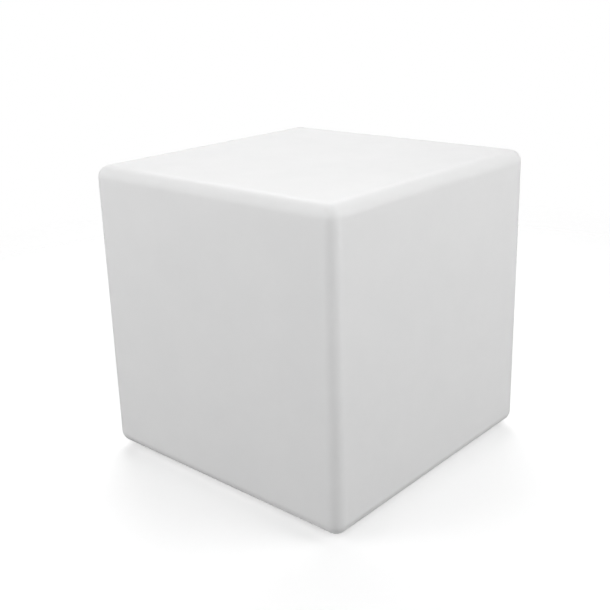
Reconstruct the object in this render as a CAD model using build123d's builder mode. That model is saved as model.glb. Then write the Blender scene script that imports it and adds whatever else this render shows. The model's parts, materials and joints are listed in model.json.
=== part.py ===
from build123d import *
import os
from math import cos, pi, radians, sin, sqrt, tan

# A rechargeable cube light: a hollow moulded cube that glows all over, with a sealed light unit
# screwed up into a round well in its underside. The origin is on the ground under the middle of
# the cube, +Z is up, and the front wall faces -Y. Sizes are in millimetres, angles in degrees.

# ---------------------------------------------------------------- the moulded cube
cube_base = 400.0  # width across the underside
shell_height = 390.0  # underside to top face
wall_draft = 0.3  # lean of each side wall
edge_radius = 16.0
shell_wall = 4.0
foot_drop = 8.0  # ground to underside

well_margin = 7.0  # flange to the side of the round well in the underside, at its floor
well_depth = 16.0
well_draft = 6.0
well_corner = 3.0  # slope between the well's side and floor
well_lip_chamfer = 3.0

insert_cover = 4.0  # plastic round and over a moulded-in screw insert
base_insert_radius = 4.0
base_insert_length = 10.0
foot_insert_radius = 4.5
foot_insert_length = 12.0
insert_sides = 6

# ---------------------------------------------------------------- feet
foot_spacing = 300.0
foot_radius = 15.0
foot_taper = 8.0
foot_seat_depth = 1.0
foot_seat_gap = 0.5
foot_chamfer = 1.2
foot_head_cover = 2.0  # the screw head stays this far above the ground
foot_head_gap = 0.5  # round the screw head, radial

# ---------------------------------------------------------------- screws
m3_radius = 1.5
m3_head_radius = 2.8
m3_head_height = 2.0
m3_grip = 6.0  # length held in a plastic post
m4_radius = 2.0
m4_head_radius = 3.9
m4_head_height = 2.6
m5_radius = 2.5
m5_head_radius = 5.5
m5_head_height = 3.0
head_sides = 12  # screws are drawn with few flats, because there are many of them
shank_sides = 8
thread_gap = 0.05  # radial, between a shank and its threaded hole
clear_gap = 0.3  # radial, between a shank and a plain hole
screw_end_gap = 1.0  # hole left beyond a screw's end

# ---------------------------------------------------------------- sealed base of the light unit
gasket_thickness = 2.0
gasket_width = 6.0  # lies inside the ring of screws
gasket_screw_gap = 1.5
flange_margin = 4.1  # round the heads of the base screws
flange_thickness = 4.0
flange_chamfer = 0.8
base_screw_count = 6
base_screw_start = 30.0  # angle of the first screw from +X
cup_wall = 2.5
cup_room = 7.3  # between the battery tray's ends and the cup, where the leads pass
opening_gap = 1.0  # between the cup and the cube's opening
column_radius = 4.0  # screw columns that grow out of the cup's wall
column_sink = 0.5
fit_gap = 0.2  # between pieces that fit together and stay still
rib_width = 1.5
rib_height = 6.0

# ---------------------------------------------------------------- push buttons
button_spacing = 30.0
button_offset = 10.0
button_radius = 6.5
button_gap = 0.2
button_proud = 1.4
button_chamfer = 0.8
button_travel = 0.5
button_lip_width = 1.5
button_lip_thickness = 1.2
button_lip_gap = 0.1
stem_radius = 2.5
stem_share = 0.7  # of the way from the lip to the switch, the plunger fills the rest
collar_width = 2.0
collar_drop = 0.7
ring_section = 1.3  # square sealing ring round each button
ring_gap = 0.08
switch_size = 6.0
switch_corner = 0.6
switch_height = 3.5
plunger_radius = 1.75
plunger_depth = 1.2  # length of plunger inside the switch at rest

# ---------------------------------------------------------------- control board
board_room = 8.0  # between the board and the cup
board_thickness = 1.6
board_standoff = 8.0
post_radius = 3.0
post_inset = 3.8  # post to the board's edge
post_angle = 40.0
chip_size = 7.0
chip_thickness = 1.0
chip_place = (-8.0, 4.0)
coil_size = 7.3
coil_height = 4.5
coil_corner = 0.9
coil_groove_radius = 2.6  # ring pressed into the coil's top
coil_groove_width = 0.4
coil_groove_depth = 0.6
coil_place = (11.0, -6.0)
capacitor_radius = 3.15
capacitor_height = 5.4
capacitor_spacing = 9.0
capacitor_place = (23.0, 2.0)
header_length = 7.5
header_width = 6.0
header_height = 6.0
header_wall = 0.8
plug_length = 8.4
header_spread = 15.0
header_tray_gap = 2.0
header_edge_gap = 1.3  # from a header's corner to the board's edge

# ---------------------------------------------------------------- charging socket and its cover
socket_offset = -14.0
socket_bore = 3.2
socket_nose_radius = 4.8
socket_body_size = 10.0
socket_body_corner = 1.0
socket_mouth_chamfer = 0.4
socket_depth = 9.0
socket_pin_radius = 1.05
socket_pin_recess = 1.2
contact_thickness = 0.3
contact_width = 2.0
cover_radius = 9.0
cover_gap = 0.5
cover_thickness = 2.2
cover_pocket_depth = 1.5
cover_clearance = 0.1
cover_hinge_reach = 13.0  # socket's middle to the hinge line
strap_width = 7.0
strap_thickness = 1.0
hinge_gap = 0.3
stub_root_radius = 2.9
stub_tip_radius = 2.5
stub_bore = 1.8
stub_length = 2.4
anchor_length = 7.5
anchor_peg_radius = 1.5
anchor_barb_radius = 2.2
anchor_barb_height = 1.2
anchor_barb_taper = 20.0
grip_length = 8.0
grip_width = 1.4
grip_drop = 0.8
grip_offset = 5.0  # from the cover's middle

guide_place = (0.0, 12.0)  # clear rod that shows the charging lamp
guide_radius = 1.5
guide_lip = 0.8
guide_lip_thickness = 1.0
charge_lamp_length = 2.0
charge_lamp_width = 1.2
charge_lamp_height = 0.8

# ---------------------------------------------------------------- battery
cell_radius = 9.2
cell_length = 65.0
cell_gap = 1.2
cell_cap_radius = 3.2
cell_cap_height = 0.8
cell_clearance = 0.15
tray_lift = 5.9  # control board to tray
tray_thickness = 2.0
tray_web = 0.5  # plastic under a cell
tray_margin = 1.0
tray_end_wall = 2.0
tray_end_width = 18.0
tray_end_gap = 0.9
saddle_thickness = 3.0
saddle_spread = 50.0
clamp_width = 14.0
clamp_thickness = 1.5
clamp_foot = 6.3
clamp_headroom = 1.95  # between the clamp and the lamp board
link_thickness = 0.3
link_width = 8.0
link_overhang = 4.6
lead_radius = 0.75
lead_sides = 8
lead_pitch = 2.5

# ---------------------------------------------------------------- lamp board and lens
lamp_board_drop = 4.0  # cup's rim to the board's underside
lamp_board_thickness = 1.6
lamp_board_gap = 1.0
slot_length = 9.0
slot_width = 5.0
slot_corner = 1.0
slot_offset = 4.7
lamp_size = 5.0
lamp_height = 1.6
lamp_well_radius = 2.0
lamp_well_sides = 12
lamp_well_depth = 0.4
outer_lamp_ring = 20.0
outer_lamp_count = 8
inner_lamp_ring = 9.0
inner_lamp_count = 4
ribbon_width = 6.0
ribbon_thickness = 1.2
ribbon_pad_offset = -4.0  # from the plug to the solder pads on the lamp board
receiver_width = 5.0
receiver_depth = 4.0
receiver_height = 7.0
receiver_lens = 1.8
receiver_place = (-16.0, 21.0)
lens_flange = 3.0
lens_screw_gap = 0.7  # round the heads of the lens screws
lens_height = 16.0
lens_corner = 3.0
lens_wall = 2.0
seal_width = 1.5
seal_height = 1.4
seal_inset = 0.7

# ---------------------------------------------------------------- radii, from the cells outwards
half_cells = cell_length / 2
cell_row = cell_radius + cell_gap / 2
trough = cell_radius + cell_clearance
tray_end = half_cells + tray_end_gap + link_thickness
tray_half_width = cell_row + cell_radius + tray_margin
header_row = tray_half_width + header_tray_gap + header_width / 2
header_reach = sqrt((header_spread + header_length / 2) ** 2 + (header_row + header_width / 2) ** 2)
board_radius = header_reach + header_edge_gap
# the cup is as wide as the board or the battery needs, whichever is wider
cup_bore = max(board_radius + board_room, tray_end + tray_end_wall + cup_room)
cup_radius = cup_bore + cup_wall
shell_opening = cup_radius + opening_gap
gasket_radius = shell_opening + gasket_width
base_screw_ring = gasket_radius + gasket_screw_gap + m4_radius
flange_radius = base_screw_ring + m4_head_radius + flange_margin
well_radius = flange_radius + well_margin
column_ring = cup_bore - column_radius + column_sink
lens_radius = column_ring - m3_head_radius - lens_screw_gap
post_ring = board_radius - post_inset

# ---------------------------------------------------------------- levels, from the ground up
well_floor = foot_drop + well_depth
flange_top = well_floor - gasket_thickness
flange_bottom = flange_top - flange_thickness
board_bottom = flange_top + board_standoff
board_top = board_bottom + board_thickness
tray_bottom = board_top + tray_lift
tray_top = tray_bottom + tray_thickness
cell_level = tray_top + tray_web + cell_radius
lamp_board_bottom = cell_level + trough + clamp_thickness + clamp_headroom
lamp_board_top = lamp_board_bottom + lamp_board_thickness
cup_rim = lamp_board_bottom + lamp_board_drop
foot_seat = foot_drop + foot_seat_depth
cover_pocket_top = flange_bottom + cover_pocket_depth

# ---------------------------------------------------------------- places seen from above
battery_header_place = (-header_spread, -header_row)
lamp_header_place = (header_spread, header_row)
button_places = {
    "power": (-button_spacing / 2, button_offset),
    "colour": (button_spacing / 2, button_offset),
}
socket_place = (0.0, socket_offset)


def ring_of_places(radius, count, start):
    """Places spaced evenly round a circle about the middle, the first at the start angle."""
    turns = [radians(start + 360.0 * i / count) for i in range(count)]
    return [(radius * cos(turn), radius * sin(turn)) for turn in turns]


def corner_places(spread_x, spread_y):
    """The four corners of a rectangle about the middle."""
    return [(x * spread_x / 2, y * spread_y / 2) for x in (-1, 1) for y in (-1, 1)]


def upright_plane(place):
    """A plane through a place, with its first axis along +X and its second straight up."""
    return Plane(origin=(*place, 0), x_dir=(1, 0, 0), z_dir=(0, -1, 0))


def upright_axis(place):
    """The vertical line through a place."""
    return Axis((*place, 0), (0, 0, 1))


def screws(places, seat, radius, head_radius, head_height, length, up):
    """Flat-headed screws: each head bears on the seat's level, and its shank runs up or down."""
    way = 1 if up else -1
    with BuildPart() as screw_set:
        with BuildSketch(Plane.XY.offset(seat)):
            with Locations(*places):
                RegularPolygon(head_radius, head_sides)
        extrude(amount=-way * head_height)
        with BuildSketch(Plane.XY.offset(seat)):
            with Locations(*places):
                RegularPolygon(radius, shank_sides)
        extrude(amount=way * length)
    return screw_set.part


def bend_radii(route, share=0.45):
    """A bend for each inner corner of a route, as large as the two runs beside it allow."""
    corners = [Vector(*point) for point in route]
    runs = [after - before for before, after in zip(corners, corners[1:])]
    radii = []
    for arriving, leaving in zip(runs, runs[1:]):
        half_turn = radians(arriving.get_angle(leaving)) / 2
        radii.append(share * min(arriving.length, leaving.length) / tan(half_turn))
    return radii


def keep(part, name):
    """Names a finished piece and writes it to its own file."""
    part.label = name
    export_step(part, f"parts/{name}.step")


os.makedirs("parts", exist_ok=True)

foot_places = corner_places(foot_spacing, foot_spacing)
base_screw_places = ring_of_places(base_screw_ring, base_screw_count, base_screw_start)
lens_screw_places = ring_of_places(column_ring, 4, 45)
tray_screw_places = ring_of_places(column_ring, 2, 0)
lamp_screw_places = ring_of_places(column_ring, 2, 100)
post_places = corner_places(
    2 * post_ring * cos(radians(post_angle)), 2 * post_ring * sin(radians(post_angle)),
)

# ================================================================ the moulded cube
# One hollow moulding with the same wall everywhere. Its underside is drawn up into a round well,
# whose floor is open in the middle for the light unit and carries the unit's screw inserts.
well_mouth = well_radius + well_depth * tan(radians(well_draft))


def well_section(side_wall, floor_wall):
    """Half the well's section: the space itself, or the same grown by the wall around it."""
    top = well_floor + floor_wall
    with BuildSketch(Plane.XZ) as section:
        with BuildLine():
            Polyline(
                (0, foot_drop),
                (well_mouth + side_wall, foot_drop),
                (well_radius + side_wall, top),
                (0, top),
                close=True,
            )
        make_face()
        chamfer(section.vertices().sort_by(Axis.X)[-2], well_corner)
    return section.sketch


foot_boss_height = foot_insert_length + insert_cover
base_boss_height = base_insert_length + insert_cover

with BuildPart() as shell:
    with BuildSketch(Plane.XY.offset(foot_drop)):
        Rectangle(cube_base, cube_base)
    extrude(amount=shell_height, taper=wall_draft)
    fillet(shell.edges(), edge_radius)
    offset(amount=-shell_wall, mode=Mode.SUBTRACT)
    # the well's wall, drawn up inside the cube
    revolve(well_section(shell_wall, shell_wall), axis=Axis.Z)
    # bosses round every insert
    with BuildSketch(Plane.XY.offset(foot_seat)):
        with Locations(*foot_places):
            Circle(foot_insert_radius + insert_cover)
    extrude(amount=foot_boss_height)
    with BuildSketch(Plane.XY.offset(well_floor)):
        with Locations(*base_screw_places):
            Circle(base_insert_radius + insert_cover)
    extrude(amount=base_boss_height)
    # the well, its opening, the seats of the feet and the insert sockets
    revolve(well_section(0, 0), axis=Axis.Z, mode=Mode.SUBTRACT)
    with BuildSketch(Plane.XY.offset(well_floor)):
        Circle(shell_opening)
    extrude(amount=base_boss_height, mode=Mode.SUBTRACT)
    with BuildSketch(Plane.XY.offset(foot_drop)):
        with Locations(*foot_places):
            Circle(foot_radius + foot_seat_gap)
    extrude(amount=foot_seat_depth, mode=Mode.SUBTRACT)
    with BuildSketch(Plane.XY.offset(foot_seat)):
        with Locations(*foot_places):
            RegularPolygon(foot_insert_radius + thread_gap, insert_sides)
    extrude(amount=foot_insert_length, mode=Mode.SUBTRACT)
    with BuildSketch(Plane.XY.offset(well_floor)):
        with Locations(*base_screw_places):
            RegularPolygon(base_insert_radius + thread_gap, insert_sides)
    extrude(amount=base_insert_length, mode=Mode.SUBTRACT)
    # the well's mouth is the widest circle in the moulding
    chamfer(shell.edges().filter_by(GeomType.CIRCLE).sort_by(SortBy.RADIUS)[-1], well_lip_chamfer)
keep(shell.part, "cube_shell")

with BuildPart() as base_inserts:
    with BuildSketch(Plane.XY.offset(well_floor)):
        with Locations(*base_screw_places):
            RegularPolygon(base_insert_radius, insert_sides)
            Circle(m4_radius + thread_gap, mode=Mode.SUBTRACT)
    extrude(amount=base_insert_length)
keep(base_inserts.part, "base_screw_inserts")

with BuildPart() as foot_inserts:
    with BuildSketch(Plane.XY.offset(foot_seat)):
        with Locations(*foot_places):
            RegularPolygon(foot_insert_radius, insert_sides)
            Circle(m5_radius + thread_gap, mode=Mode.SUBTRACT)
    extrude(amount=foot_insert_length)
keep(foot_inserts.part, "foot_screw_inserts")

# ================================================================ the four feet
# Tapered rubber buffers, each drawn into its shallow seat by a broad-headed screw.
foot_head_seat = foot_head_cover + m5_head_height

with BuildPart() as feet:
    with BuildSketch(Plane.XY.offset(foot_seat)):
        with Locations(*foot_places):
            Circle(foot_radius)
    extrude(amount=-foot_seat, taper=foot_taper)
    chamfer(feet.edges().group_by(Axis.Z)[0], foot_chamfer)
    with BuildSketch(Plane.XY):
        with Locations(*foot_places):
            Circle(m5_head_radius + foot_head_gap)
    extrude(amount=foot_head_seat, mode=Mode.SUBTRACT)
    with BuildSketch(Plane.XY.offset(foot_head_seat)):
        with Locations(*foot_places):
            Circle(m5_radius + clear_gap)
    extrude(amount=foot_seat - foot_head_seat, mode=Mode.SUBTRACT)
keep(feet.part, "rubber_feet")

foot_screw_length = foot_seat - foot_head_seat + foot_insert_length - screw_end_gap
foot_screws = screws(
    foot_places, foot_head_seat, m5_radius, m5_head_radius, m5_head_height,
    foot_screw_length, up=True,
)
keep(foot_screws, "foot_screws")

# ================================================================ base housing
# One moulding: a flange that closes the well's floor, and a cup that stands up through the
# opening into the cube. Everything electrical is carried by the posts and columns inside it.
hinge_line = socket_offset - cover_hinge_reach
anchor_end = hinge_line - strap_thickness / 2 - hinge_gap - anchor_length
anchor_middle = hinge_line - strap_thickness / 2 - hinge_gap - anchor_length / 2
button_bore = button_radius + button_gap
pilot_depth = m3_grip + screw_end_gap

with BuildPart() as base_housing:
    with BuildSketch(Plane.XY.offset(flange_bottom)):
        Circle(flange_radius)
    extrude(amount=flange_thickness)
    chamfer(base_housing.edges().group_by(Axis.Z)[0], flange_chamfer)
    with BuildSketch(Plane.XY.offset(flange_top)):
        Circle(cup_radius)
        Circle(cup_bore, mode=Mode.SUBTRACT)
    extrude(amount=cup_rim - flange_top)
    # columns for the lens, the lamp board and the battery tray
    for places, level in (
        (lens_screw_places, cup_rim),
        (lamp_screw_places, lamp_board_bottom),
        (tray_screw_places, tray_bottom),
    ):
        with BuildSketch(Plane.XY.offset(flange_top)):
            with Locations(*places):
                Circle(column_radius)
        extrude(amount=level - flange_top)
        with BuildSketch(Plane.XY.offset(level)):
            with Locations(*places):
                Circle(m3_radius + thread_gap)
        extrude(amount=-pilot_depth, mode=Mode.SUBTRACT)
    # posts for the control board, each braced to the cup's wall by a rib
    with BuildSketch(Plane.XY.offset(flange_top)):
        with Locations(*post_places):
            Circle(post_radius)
    extrude(amount=board_standoff)
    for place in post_places:
        with BuildSketch(Plane.XY.offset(flange_top)):
            with BuildLine():
                Line(place, Vector(*place).normalized() * (cup_bore + column_sink))
            trace(line_width=rib_width)
        extrude(amount=rib_height)
    with BuildSketch(Plane.XY.offset(board_bottom)):
        with Locations(*post_places):
            Circle(m3_radius + thread_gap)
    extrude(amount=-pilot_depth, mode=Mode.SUBTRACT)
    # collars round the buttons, then the button bores
    with BuildSketch(Plane.XY.offset(flange_bottom)):
        with Locations(*button_places.values()):
            Circle(button_bore + collar_width)
    extrude(amount=-collar_drop)
    with BuildSketch(Plane.XY.offset(flange_bottom - collar_drop)):
        with Locations(*button_places.values()):
            Circle(button_bore)
    extrude(amount=flange_thickness + collar_drop, mode=Mode.SUBTRACT)
    # pocket and channel for the charging socket's cover
    with BuildSketch(Plane.XY.offset(flange_bottom)):
        with Locations(socket_place):
            Circle(cover_radius + cover_gap)
        with Locations((0, (socket_offset + anchor_end) / 2)):
            Rectangle(strap_width + 2 * cover_gap, socket_offset - anchor_end + 2 * cover_gap)
    extrude(amount=cover_pocket_depth, mode=Mode.SUBTRACT)
    with BuildSketch(Plane.XY.offset(cover_pocket_top)):
        with Locations(socket_place):
            Circle(socket_nose_radius + fit_gap)
        with Locations((0, anchor_middle)):
            Circle(anchor_peg_radius + thread_gap)
        with Locations(guide_place):
            Circle(guide_radius + thread_gap)
    extrude(amount=flange_thickness, mode=Mode.SUBTRACT)
    with BuildSketch(Plane.XY.offset(flange_bottom)):
        with Locations(guide_place):
            Circle(guide_radius + thread_gap)
    extrude(amount=flange_thickness, mode=Mode.SUBTRACT)
    # screw holes of the flange
    with BuildSketch(Plane.XY.offset(flange_bottom)):
        with Locations(*base_screw_places):
            Circle(m4_radius + clear_gap)
    extrude(amount=flange_thickness, mode=Mode.SUBTRACT)
keep(base_housing.part, "base_housing")

with BuildPart() as flange_gasket:
    with BuildSketch(Plane.XY.offset(flange_top)):
        Circle(gasket_radius)
        Circle(shell_opening, mode=Mode.SUBTRACT)
    extrude(amount=gasket_thickness)
keep(flange_gasket.part, "flange_gasket")

base_screw_length = well_floor - flange_bottom + base_insert_length - screw_end_gap
base_screws = screws(
    base_screw_places, flange_bottom, m4_radius, m4_head_radius, m4_head_height,
    base_screw_length, up=True,
)
keep(base_screws, "base_screws")

# ================================================================ push buttons
# Each cap slides in the flange, is kept in by a lip inside and sealed by a square ring in a
# groove. Its stem rests on the plunger of a switch that hangs under the control board.
button_face = flange_bottom - button_proud
button_lip_bottom = flange_top + button_lip_gap
button_lip_top = button_lip_bottom + button_lip_thickness
switch_bottom = board_bottom - switch_height
plunger_bottom = button_lip_top + stem_share * (switch_bottom - button_lip_top)
groove_radius = button_bore - ring_gap - ring_section
groove_middle = (flange_bottom + flange_top) / 2
groove_half = ring_section / 2 + ring_gap

for use, place in button_places.items():
    with BuildPart() as button:
        with BuildSketch(upright_plane(place)):
            with BuildLine():
                Polyline(
                    (0, button_face),
                    (button_radius - button_chamfer, button_face),
                    (button_radius, button_face + button_chamfer),
                    (button_radius, groove_middle - groove_half),
                    (groove_radius - ring_gap, groove_middle - groove_half),
                    (groove_radius - ring_gap, groove_middle + groove_half),
                    (button_radius, groove_middle + groove_half),
                    (button_radius, button_lip_bottom),
                    (button_bore + button_lip_width, button_lip_bottom),
                    (button_bore + button_lip_width, button_lip_top),
                    (stem_radius, button_lip_top),
                    (stem_radius, plunger_bottom),
                    (0, plunger_bottom),
                    close=True,
                )
            make_face()
        revolve(axis=upright_axis(place))
    keep(button.part, f"{use}_button")

    with BuildPart() as button_ring:
        with BuildSketch(Plane.XY.offset(groove_middle - ring_section / 2)):
            with Locations(place):
                Circle(button_bore - ring_gap)
                Circle(groove_radius, mode=Mode.SUBTRACT)
        extrude(amount=ring_section)
    keep(button_ring.part, f"{use}_button_ring")

    with BuildPart() as switch:
        with BuildSketch(Plane.XY.offset(switch_bottom)):
            with Locations(place):
                RectangleRounded(switch_size, switch_size, switch_corner)
        extrude(amount=switch_height)
        with BuildSketch(Plane.XY.offset(switch_bottom)):
            with Locations(place):
                Circle(plunger_radius + button_gap)
        extrude(amount=plunger_depth + 2 * button_travel, mode=Mode.SUBTRACT)
    keep(switch.part, f"{use}_switch")

    with BuildPart() as plunger:
        with BuildSketch(Plane.XY.offset(plunger_bottom)):
            with Locations(place):
                Circle(plunger_radius)
        extrude(amount=switch_bottom - plunger_bottom + plunger_depth)
    keep(plunger.part, f"{use}_switch_plunger")

# ================================================================ control board
with BuildPart() as control_board:
    with BuildSketch(Plane.XY.offset(board_bottom)):
        Circle(board_radius)
        with Locations(*post_places):
            Circle(m3_radius + clear_gap, mode=Mode.SUBTRACT)
    extrude(amount=board_thickness)
keep(control_board.part, "control_board")

board_screws = screws(
    post_places, board_top, m3_radius, m3_head_radius, m3_head_height,
    board_thickness + m3_grip, up=False,
)
keep(board_screws, "control_board_screws")

with BuildPart() as chip:
    with BuildSketch(Plane.XY.offset(board_top)):
        with Locations(chip_place):
            Rectangle(chip_size, chip_size)
    extrude(amount=chip_thickness)
    chamfer(chip.edges().group_by(Axis.Z)[-1], chip_thickness / 4)
keep(chip.part, "controller_chip")

with BuildPart() as coil:
    with BuildSketch(Plane.XY.offset(board_top)):
        with Locations(coil_place):
            RectangleRounded(coil_size, coil_size, coil_corner)
    extrude(amount=coil_height)
    with BuildSketch(Plane.XY.offset(board_top + coil_height)):
        with Locations(coil_place):
            Circle(coil_groove_radius)
            Circle(coil_groove_radius - coil_groove_width, mode=Mode.SUBTRACT)
    extrude(amount=-coil_groove_depth, mode=Mode.SUBTRACT)
keep(coil.part, "charging_coil")

with BuildPart() as capacitors:
    capacitor_ends = [
        (capacitor_place[0], capacitor_place[1] + end * capacitor_spacing / 2) for end in (-1, 1)
    ]
    with BuildSketch(Plane.XY.offset(board_top)):
        with Locations(*capacitor_ends):
            Circle(capacitor_radius)
    extrude(amount=capacitor_height)
keep(capacitors.part, "capacitors")

# ================================================================ charging socket
socket_mouth = cover_pocket_top
socket_end = socket_mouth + socket_depth

with BuildPart() as socket:
    with BuildSketch(Plane.XY.offset(socket_mouth)):
        with Locations(socket_place):
            Circle(socket_nose_radius)
    extrude(amount=board_bottom - socket_mouth)
    with BuildSketch(Plane.XY.offset(flange_top + fit_gap)):
        with Locations(socket_place):
            RectangleRounded(socket_body_size, socket_body_size, socket_body_corner)
    extrude(amount=board_bottom - flange_top - fit_gap)
    with BuildSketch(Plane.XY.offset(socket_mouth)):
        with Locations(socket_place):
            Circle(socket_bore)
    extrude(amount=socket_depth, mode=Mode.SUBTRACT)
    chamfer(socket.edges().group_by(Axis.Z)[0].sort_by(SortBy.RADIUS)[0], socket_mouth_chamfer)
keep(socket.part, "charging_socket")

with BuildPart() as socket_pin:
    with BuildSketch(Plane.XY.offset(socket_end)):
        with Locations(socket_place):
            Circle(socket_pin_radius)
    extrude(amount=-(socket_depth - socket_pin_recess))
    chamfer(socket_pin.edges().group_by(Axis.Z)[0], socket_pin_radius / 3)
keep(socket_pin.part, "charging_socket_pin")

with BuildPart() as socket_contact:
    contact_seat = sqrt(socket_bore**2 - (contact_width / 2) ** 2) - thread_gap
    contact_middle = contact_seat - contact_thickness / 2
    with BuildSketch(Plane.XY.offset(socket_mouth + socket_depth / 2)):
        with Locations((socket_place[0], socket_place[1] + contact_middle)):
            Rectangle(contact_width, contact_thickness)
    extrude(amount=socket_depth / 2)
keep(socket_contact.part, "charging_socket_contact")

# ================================================================ cover of the charging socket
# One soft moulding in two pieces here: the part that swings, and the end that stays pegged into
# the flange. They meet at the thin line where the strap bends.
cover_top = cover_pocket_top - cover_clearance
cover_bottom = cover_top - cover_thickness
strap_level = cover_top - strap_thickness / 2 - cover_clearance

with BuildPart() as cover:
    with BuildSketch(Plane.XY.offset(cover_bottom)):
        with Locations(socket_place):
            Circle(cover_radius)
    extrude(amount=cover_thickness)
    chamfer(cover.edges().group_by(Axis.Z)[0], cover_thickness / 4)
    with BuildSketch(Plane.XY.offset(cover_bottom)):
        with Locations((0, socket_offset + grip_offset)):
            SlotOverall(grip_length, grip_width)
    extrude(amount=-grip_drop)
    with BuildSketch(Plane.XY.offset(strap_level - strap_thickness / 2)):
        with Locations((0, (hinge_line + socket_offset) / 2)):
            Rectangle(strap_width, cover_hinge_reach)
    extrude(amount=strap_thickness)
    with BuildSketch(Plane.YZ.offset(-strap_width / 2)):
        with Locations((hinge_line, strap_level)):
            Circle(strap_thickness / 2)
    extrude(amount=strap_width)
    with BuildSketch(Plane.XY.offset(cover_top)):
        with Locations(socket_place):
            Circle(stub_root_radius)
    with BuildSketch(Plane.XY.offset(cover_top + stub_length)):
        with Locations(socket_place):
            Circle(stub_tip_radius)
    loft()
    with BuildSketch(Plane.XY.offset(cover_top)):
        with Locations(socket_place):
            Circle(stub_bore)
    extrude(amount=stub_length, mode=Mode.SUBTRACT)
keep(cover.part, "charging_cover")

with BuildPart() as anchor:
    with BuildSketch(Plane.XY.offset(strap_level - strap_thickness / 2)):
        with Locations((0, anchor_middle)):
            RectangleRounded(strap_width, anchor_length, strap_width / 8)
    extrude(amount=strap_thickness)
    with BuildSketch(Plane.XY.offset(strap_level)):
        with Locations((0, anchor_middle)):
            Circle(anchor_peg_radius)
    extrude(amount=flange_top + thread_gap - strap_level)
    with BuildSketch(Plane.XY.offset(flange_top + thread_gap)):
        with Locations((0, anchor_middle)):
            Circle(anchor_barb_radius)
    extrude(amount=anchor_barb_height, taper=anchor_barb_taper)
keep(anchor.part, "charging_cover_anchor")

# ================================================================ charging lamp and its light guide
lamp_underside = board_bottom - charge_lamp_height

with BuildPart() as light_guide:
    with BuildSketch(Plane.XY.offset(flange_bottom)):
        with Locations(guide_place):
            Circle(guide_radius)
    extrude(amount=lamp_underside - fit_gap - flange_bottom)
    with BuildSketch(Plane.XY.offset(flange_top)):
        with Locations(guide_place):
            Circle(guide_radius + guide_lip)
    extrude(amount=guide_lip_thickness)
keep(light_guide.part, "charge_light_guide")

with BuildPart() as charge_lamp:
    with BuildSketch(Plane.XY.offset(lamp_underside)):
        with Locations(guide_place):
            Rectangle(charge_lamp_length, charge_lamp_width)
    extrude(amount=charge_lamp_height)
keep(charge_lamp.part, "charge_lamp")

# ================================================================ battery
# Two round cells lie side by side in a saddled tray, under a strap that follows their backs.
saddle_half_width = cell_row + trough + clamp_thickness + clamp_foot
clamp_screw_row = saddle_half_width - clamp_foot / 2

with BuildPart() as tray:
    with BuildSketch(Plane.XY.offset(tray_bottom)):
        Rectangle(2 * (tray_end + tray_end_wall), 2 * tray_half_width)
        Rectangle(clamp_width, 2 * saddle_half_width)
        Rectangle(2 * cup_radius, 2 * column_radius)
        Circle(cup_bore - fit_gap, mode=Mode.INTERSECT)
        with Locations(*tray_screw_places):
            Circle(m3_radius + clear_gap, mode=Mode.SUBTRACT)
    extrude(amount=tray_thickness)
    with BuildSketch(Plane.XY.offset(tray_top)):
        Rectangle(clamp_width, 2 * saddle_half_width)
        with Locations((-saddle_spread / 2, 0), (saddle_spread / 2, 0)):
            Rectangle(saddle_thickness, 2 * tray_half_width)
        with Locations((-tray_end - tray_end_wall / 2, 0), (tray_end + tray_end_wall / 2, 0)):
            Rectangle(tray_end_wall, tray_end_width)
    extrude(amount=cell_level - tray_top)
    with BuildSketch(Plane.YZ.offset(-tray_end)):
        with Locations((-cell_row, cell_level), (cell_row, cell_level)):
            Circle(trough)
    extrude(amount=2 * tray_end, mode=Mode.SUBTRACT)
    with BuildSketch(Plane.XY.offset(cell_level)):
        with Locations((0, -clamp_screw_row), (0, clamp_screw_row)):
            Circle(m3_radius + thread_gap)
    extrude(amount=-pilot_depth, mode=Mode.SUBTRACT)
keep(tray.part, "battery_tray")

tray_screws = screws(
    tray_screw_places, tray_top, m3_radius, m3_head_radius, m3_head_height,
    tray_thickness + m3_grip, up=False,
)
keep(tray_screws, "battery_tray_screws")

for side, row in (("front", -cell_row), ("back", cell_row)):
    with BuildPart() as cell:
        with BuildSketch(Plane.YZ.offset(-half_cells)):
            with Locations((row, cell_level)):
                Circle(cell_radius)
        extrude(amount=cell_length - cell_cap_height)
        chamfer(cell.edges().filter_by(GeomType.CIRCLE), cell_cap_height / 2)
        with BuildSketch(Plane.YZ.offset(half_cells - cell_cap_height)):
            with Locations((row, cell_level)):
                Circle(cell_cap_radius)
        extrude(amount=cell_cap_height)
    keep(cell.part, f"battery_cell_{side}")

link_length = 2 * (cell_row + link_overhang)
with BuildPart() as cell_links:
    for start in (-half_cells - link_thickness, half_cells):
        with BuildSketch(Plane.YZ.offset(start)):
            with Locations((0, cell_level)):
                SlotOverall(link_length, link_width)
        extrude(amount=link_thickness)
keep(cell_links.part, "battery_cell_links")

with BuildPart() as clamp:
    with BuildSketch(Plane.YZ.offset(-clamp_width / 2)):
        with Locations((-cell_row, cell_level), (cell_row, cell_level)):
            Circle(trough + clamp_thickness)
        with Locations((0, cell_level)):
            Rectangle(2 * saddle_half_width, clamp_thickness, align=(Align.CENTER, Align.MIN))
        with Locations((0, cell_level)):
            Rectangle(
                4 * saddle_half_width, 4 * trough,
                align=(Align.CENTER, Align.MAX), mode=Mode.SUBTRACT,
            )
        with Locations((-cell_row, cell_level), (cell_row, cell_level)):
            Circle(trough, mode=Mode.SUBTRACT)
    extrude(amount=clamp_width)
    with BuildSketch(Plane.XY.offset(cell_level)):
        with Locations((0, -clamp_screw_row), (0, clamp_screw_row)):
            Circle(m3_radius + clear_gap)
    extrude(amount=clamp_thickness, mode=Mode.SUBTRACT)
keep(clamp.part, "battery_clamp")

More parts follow.
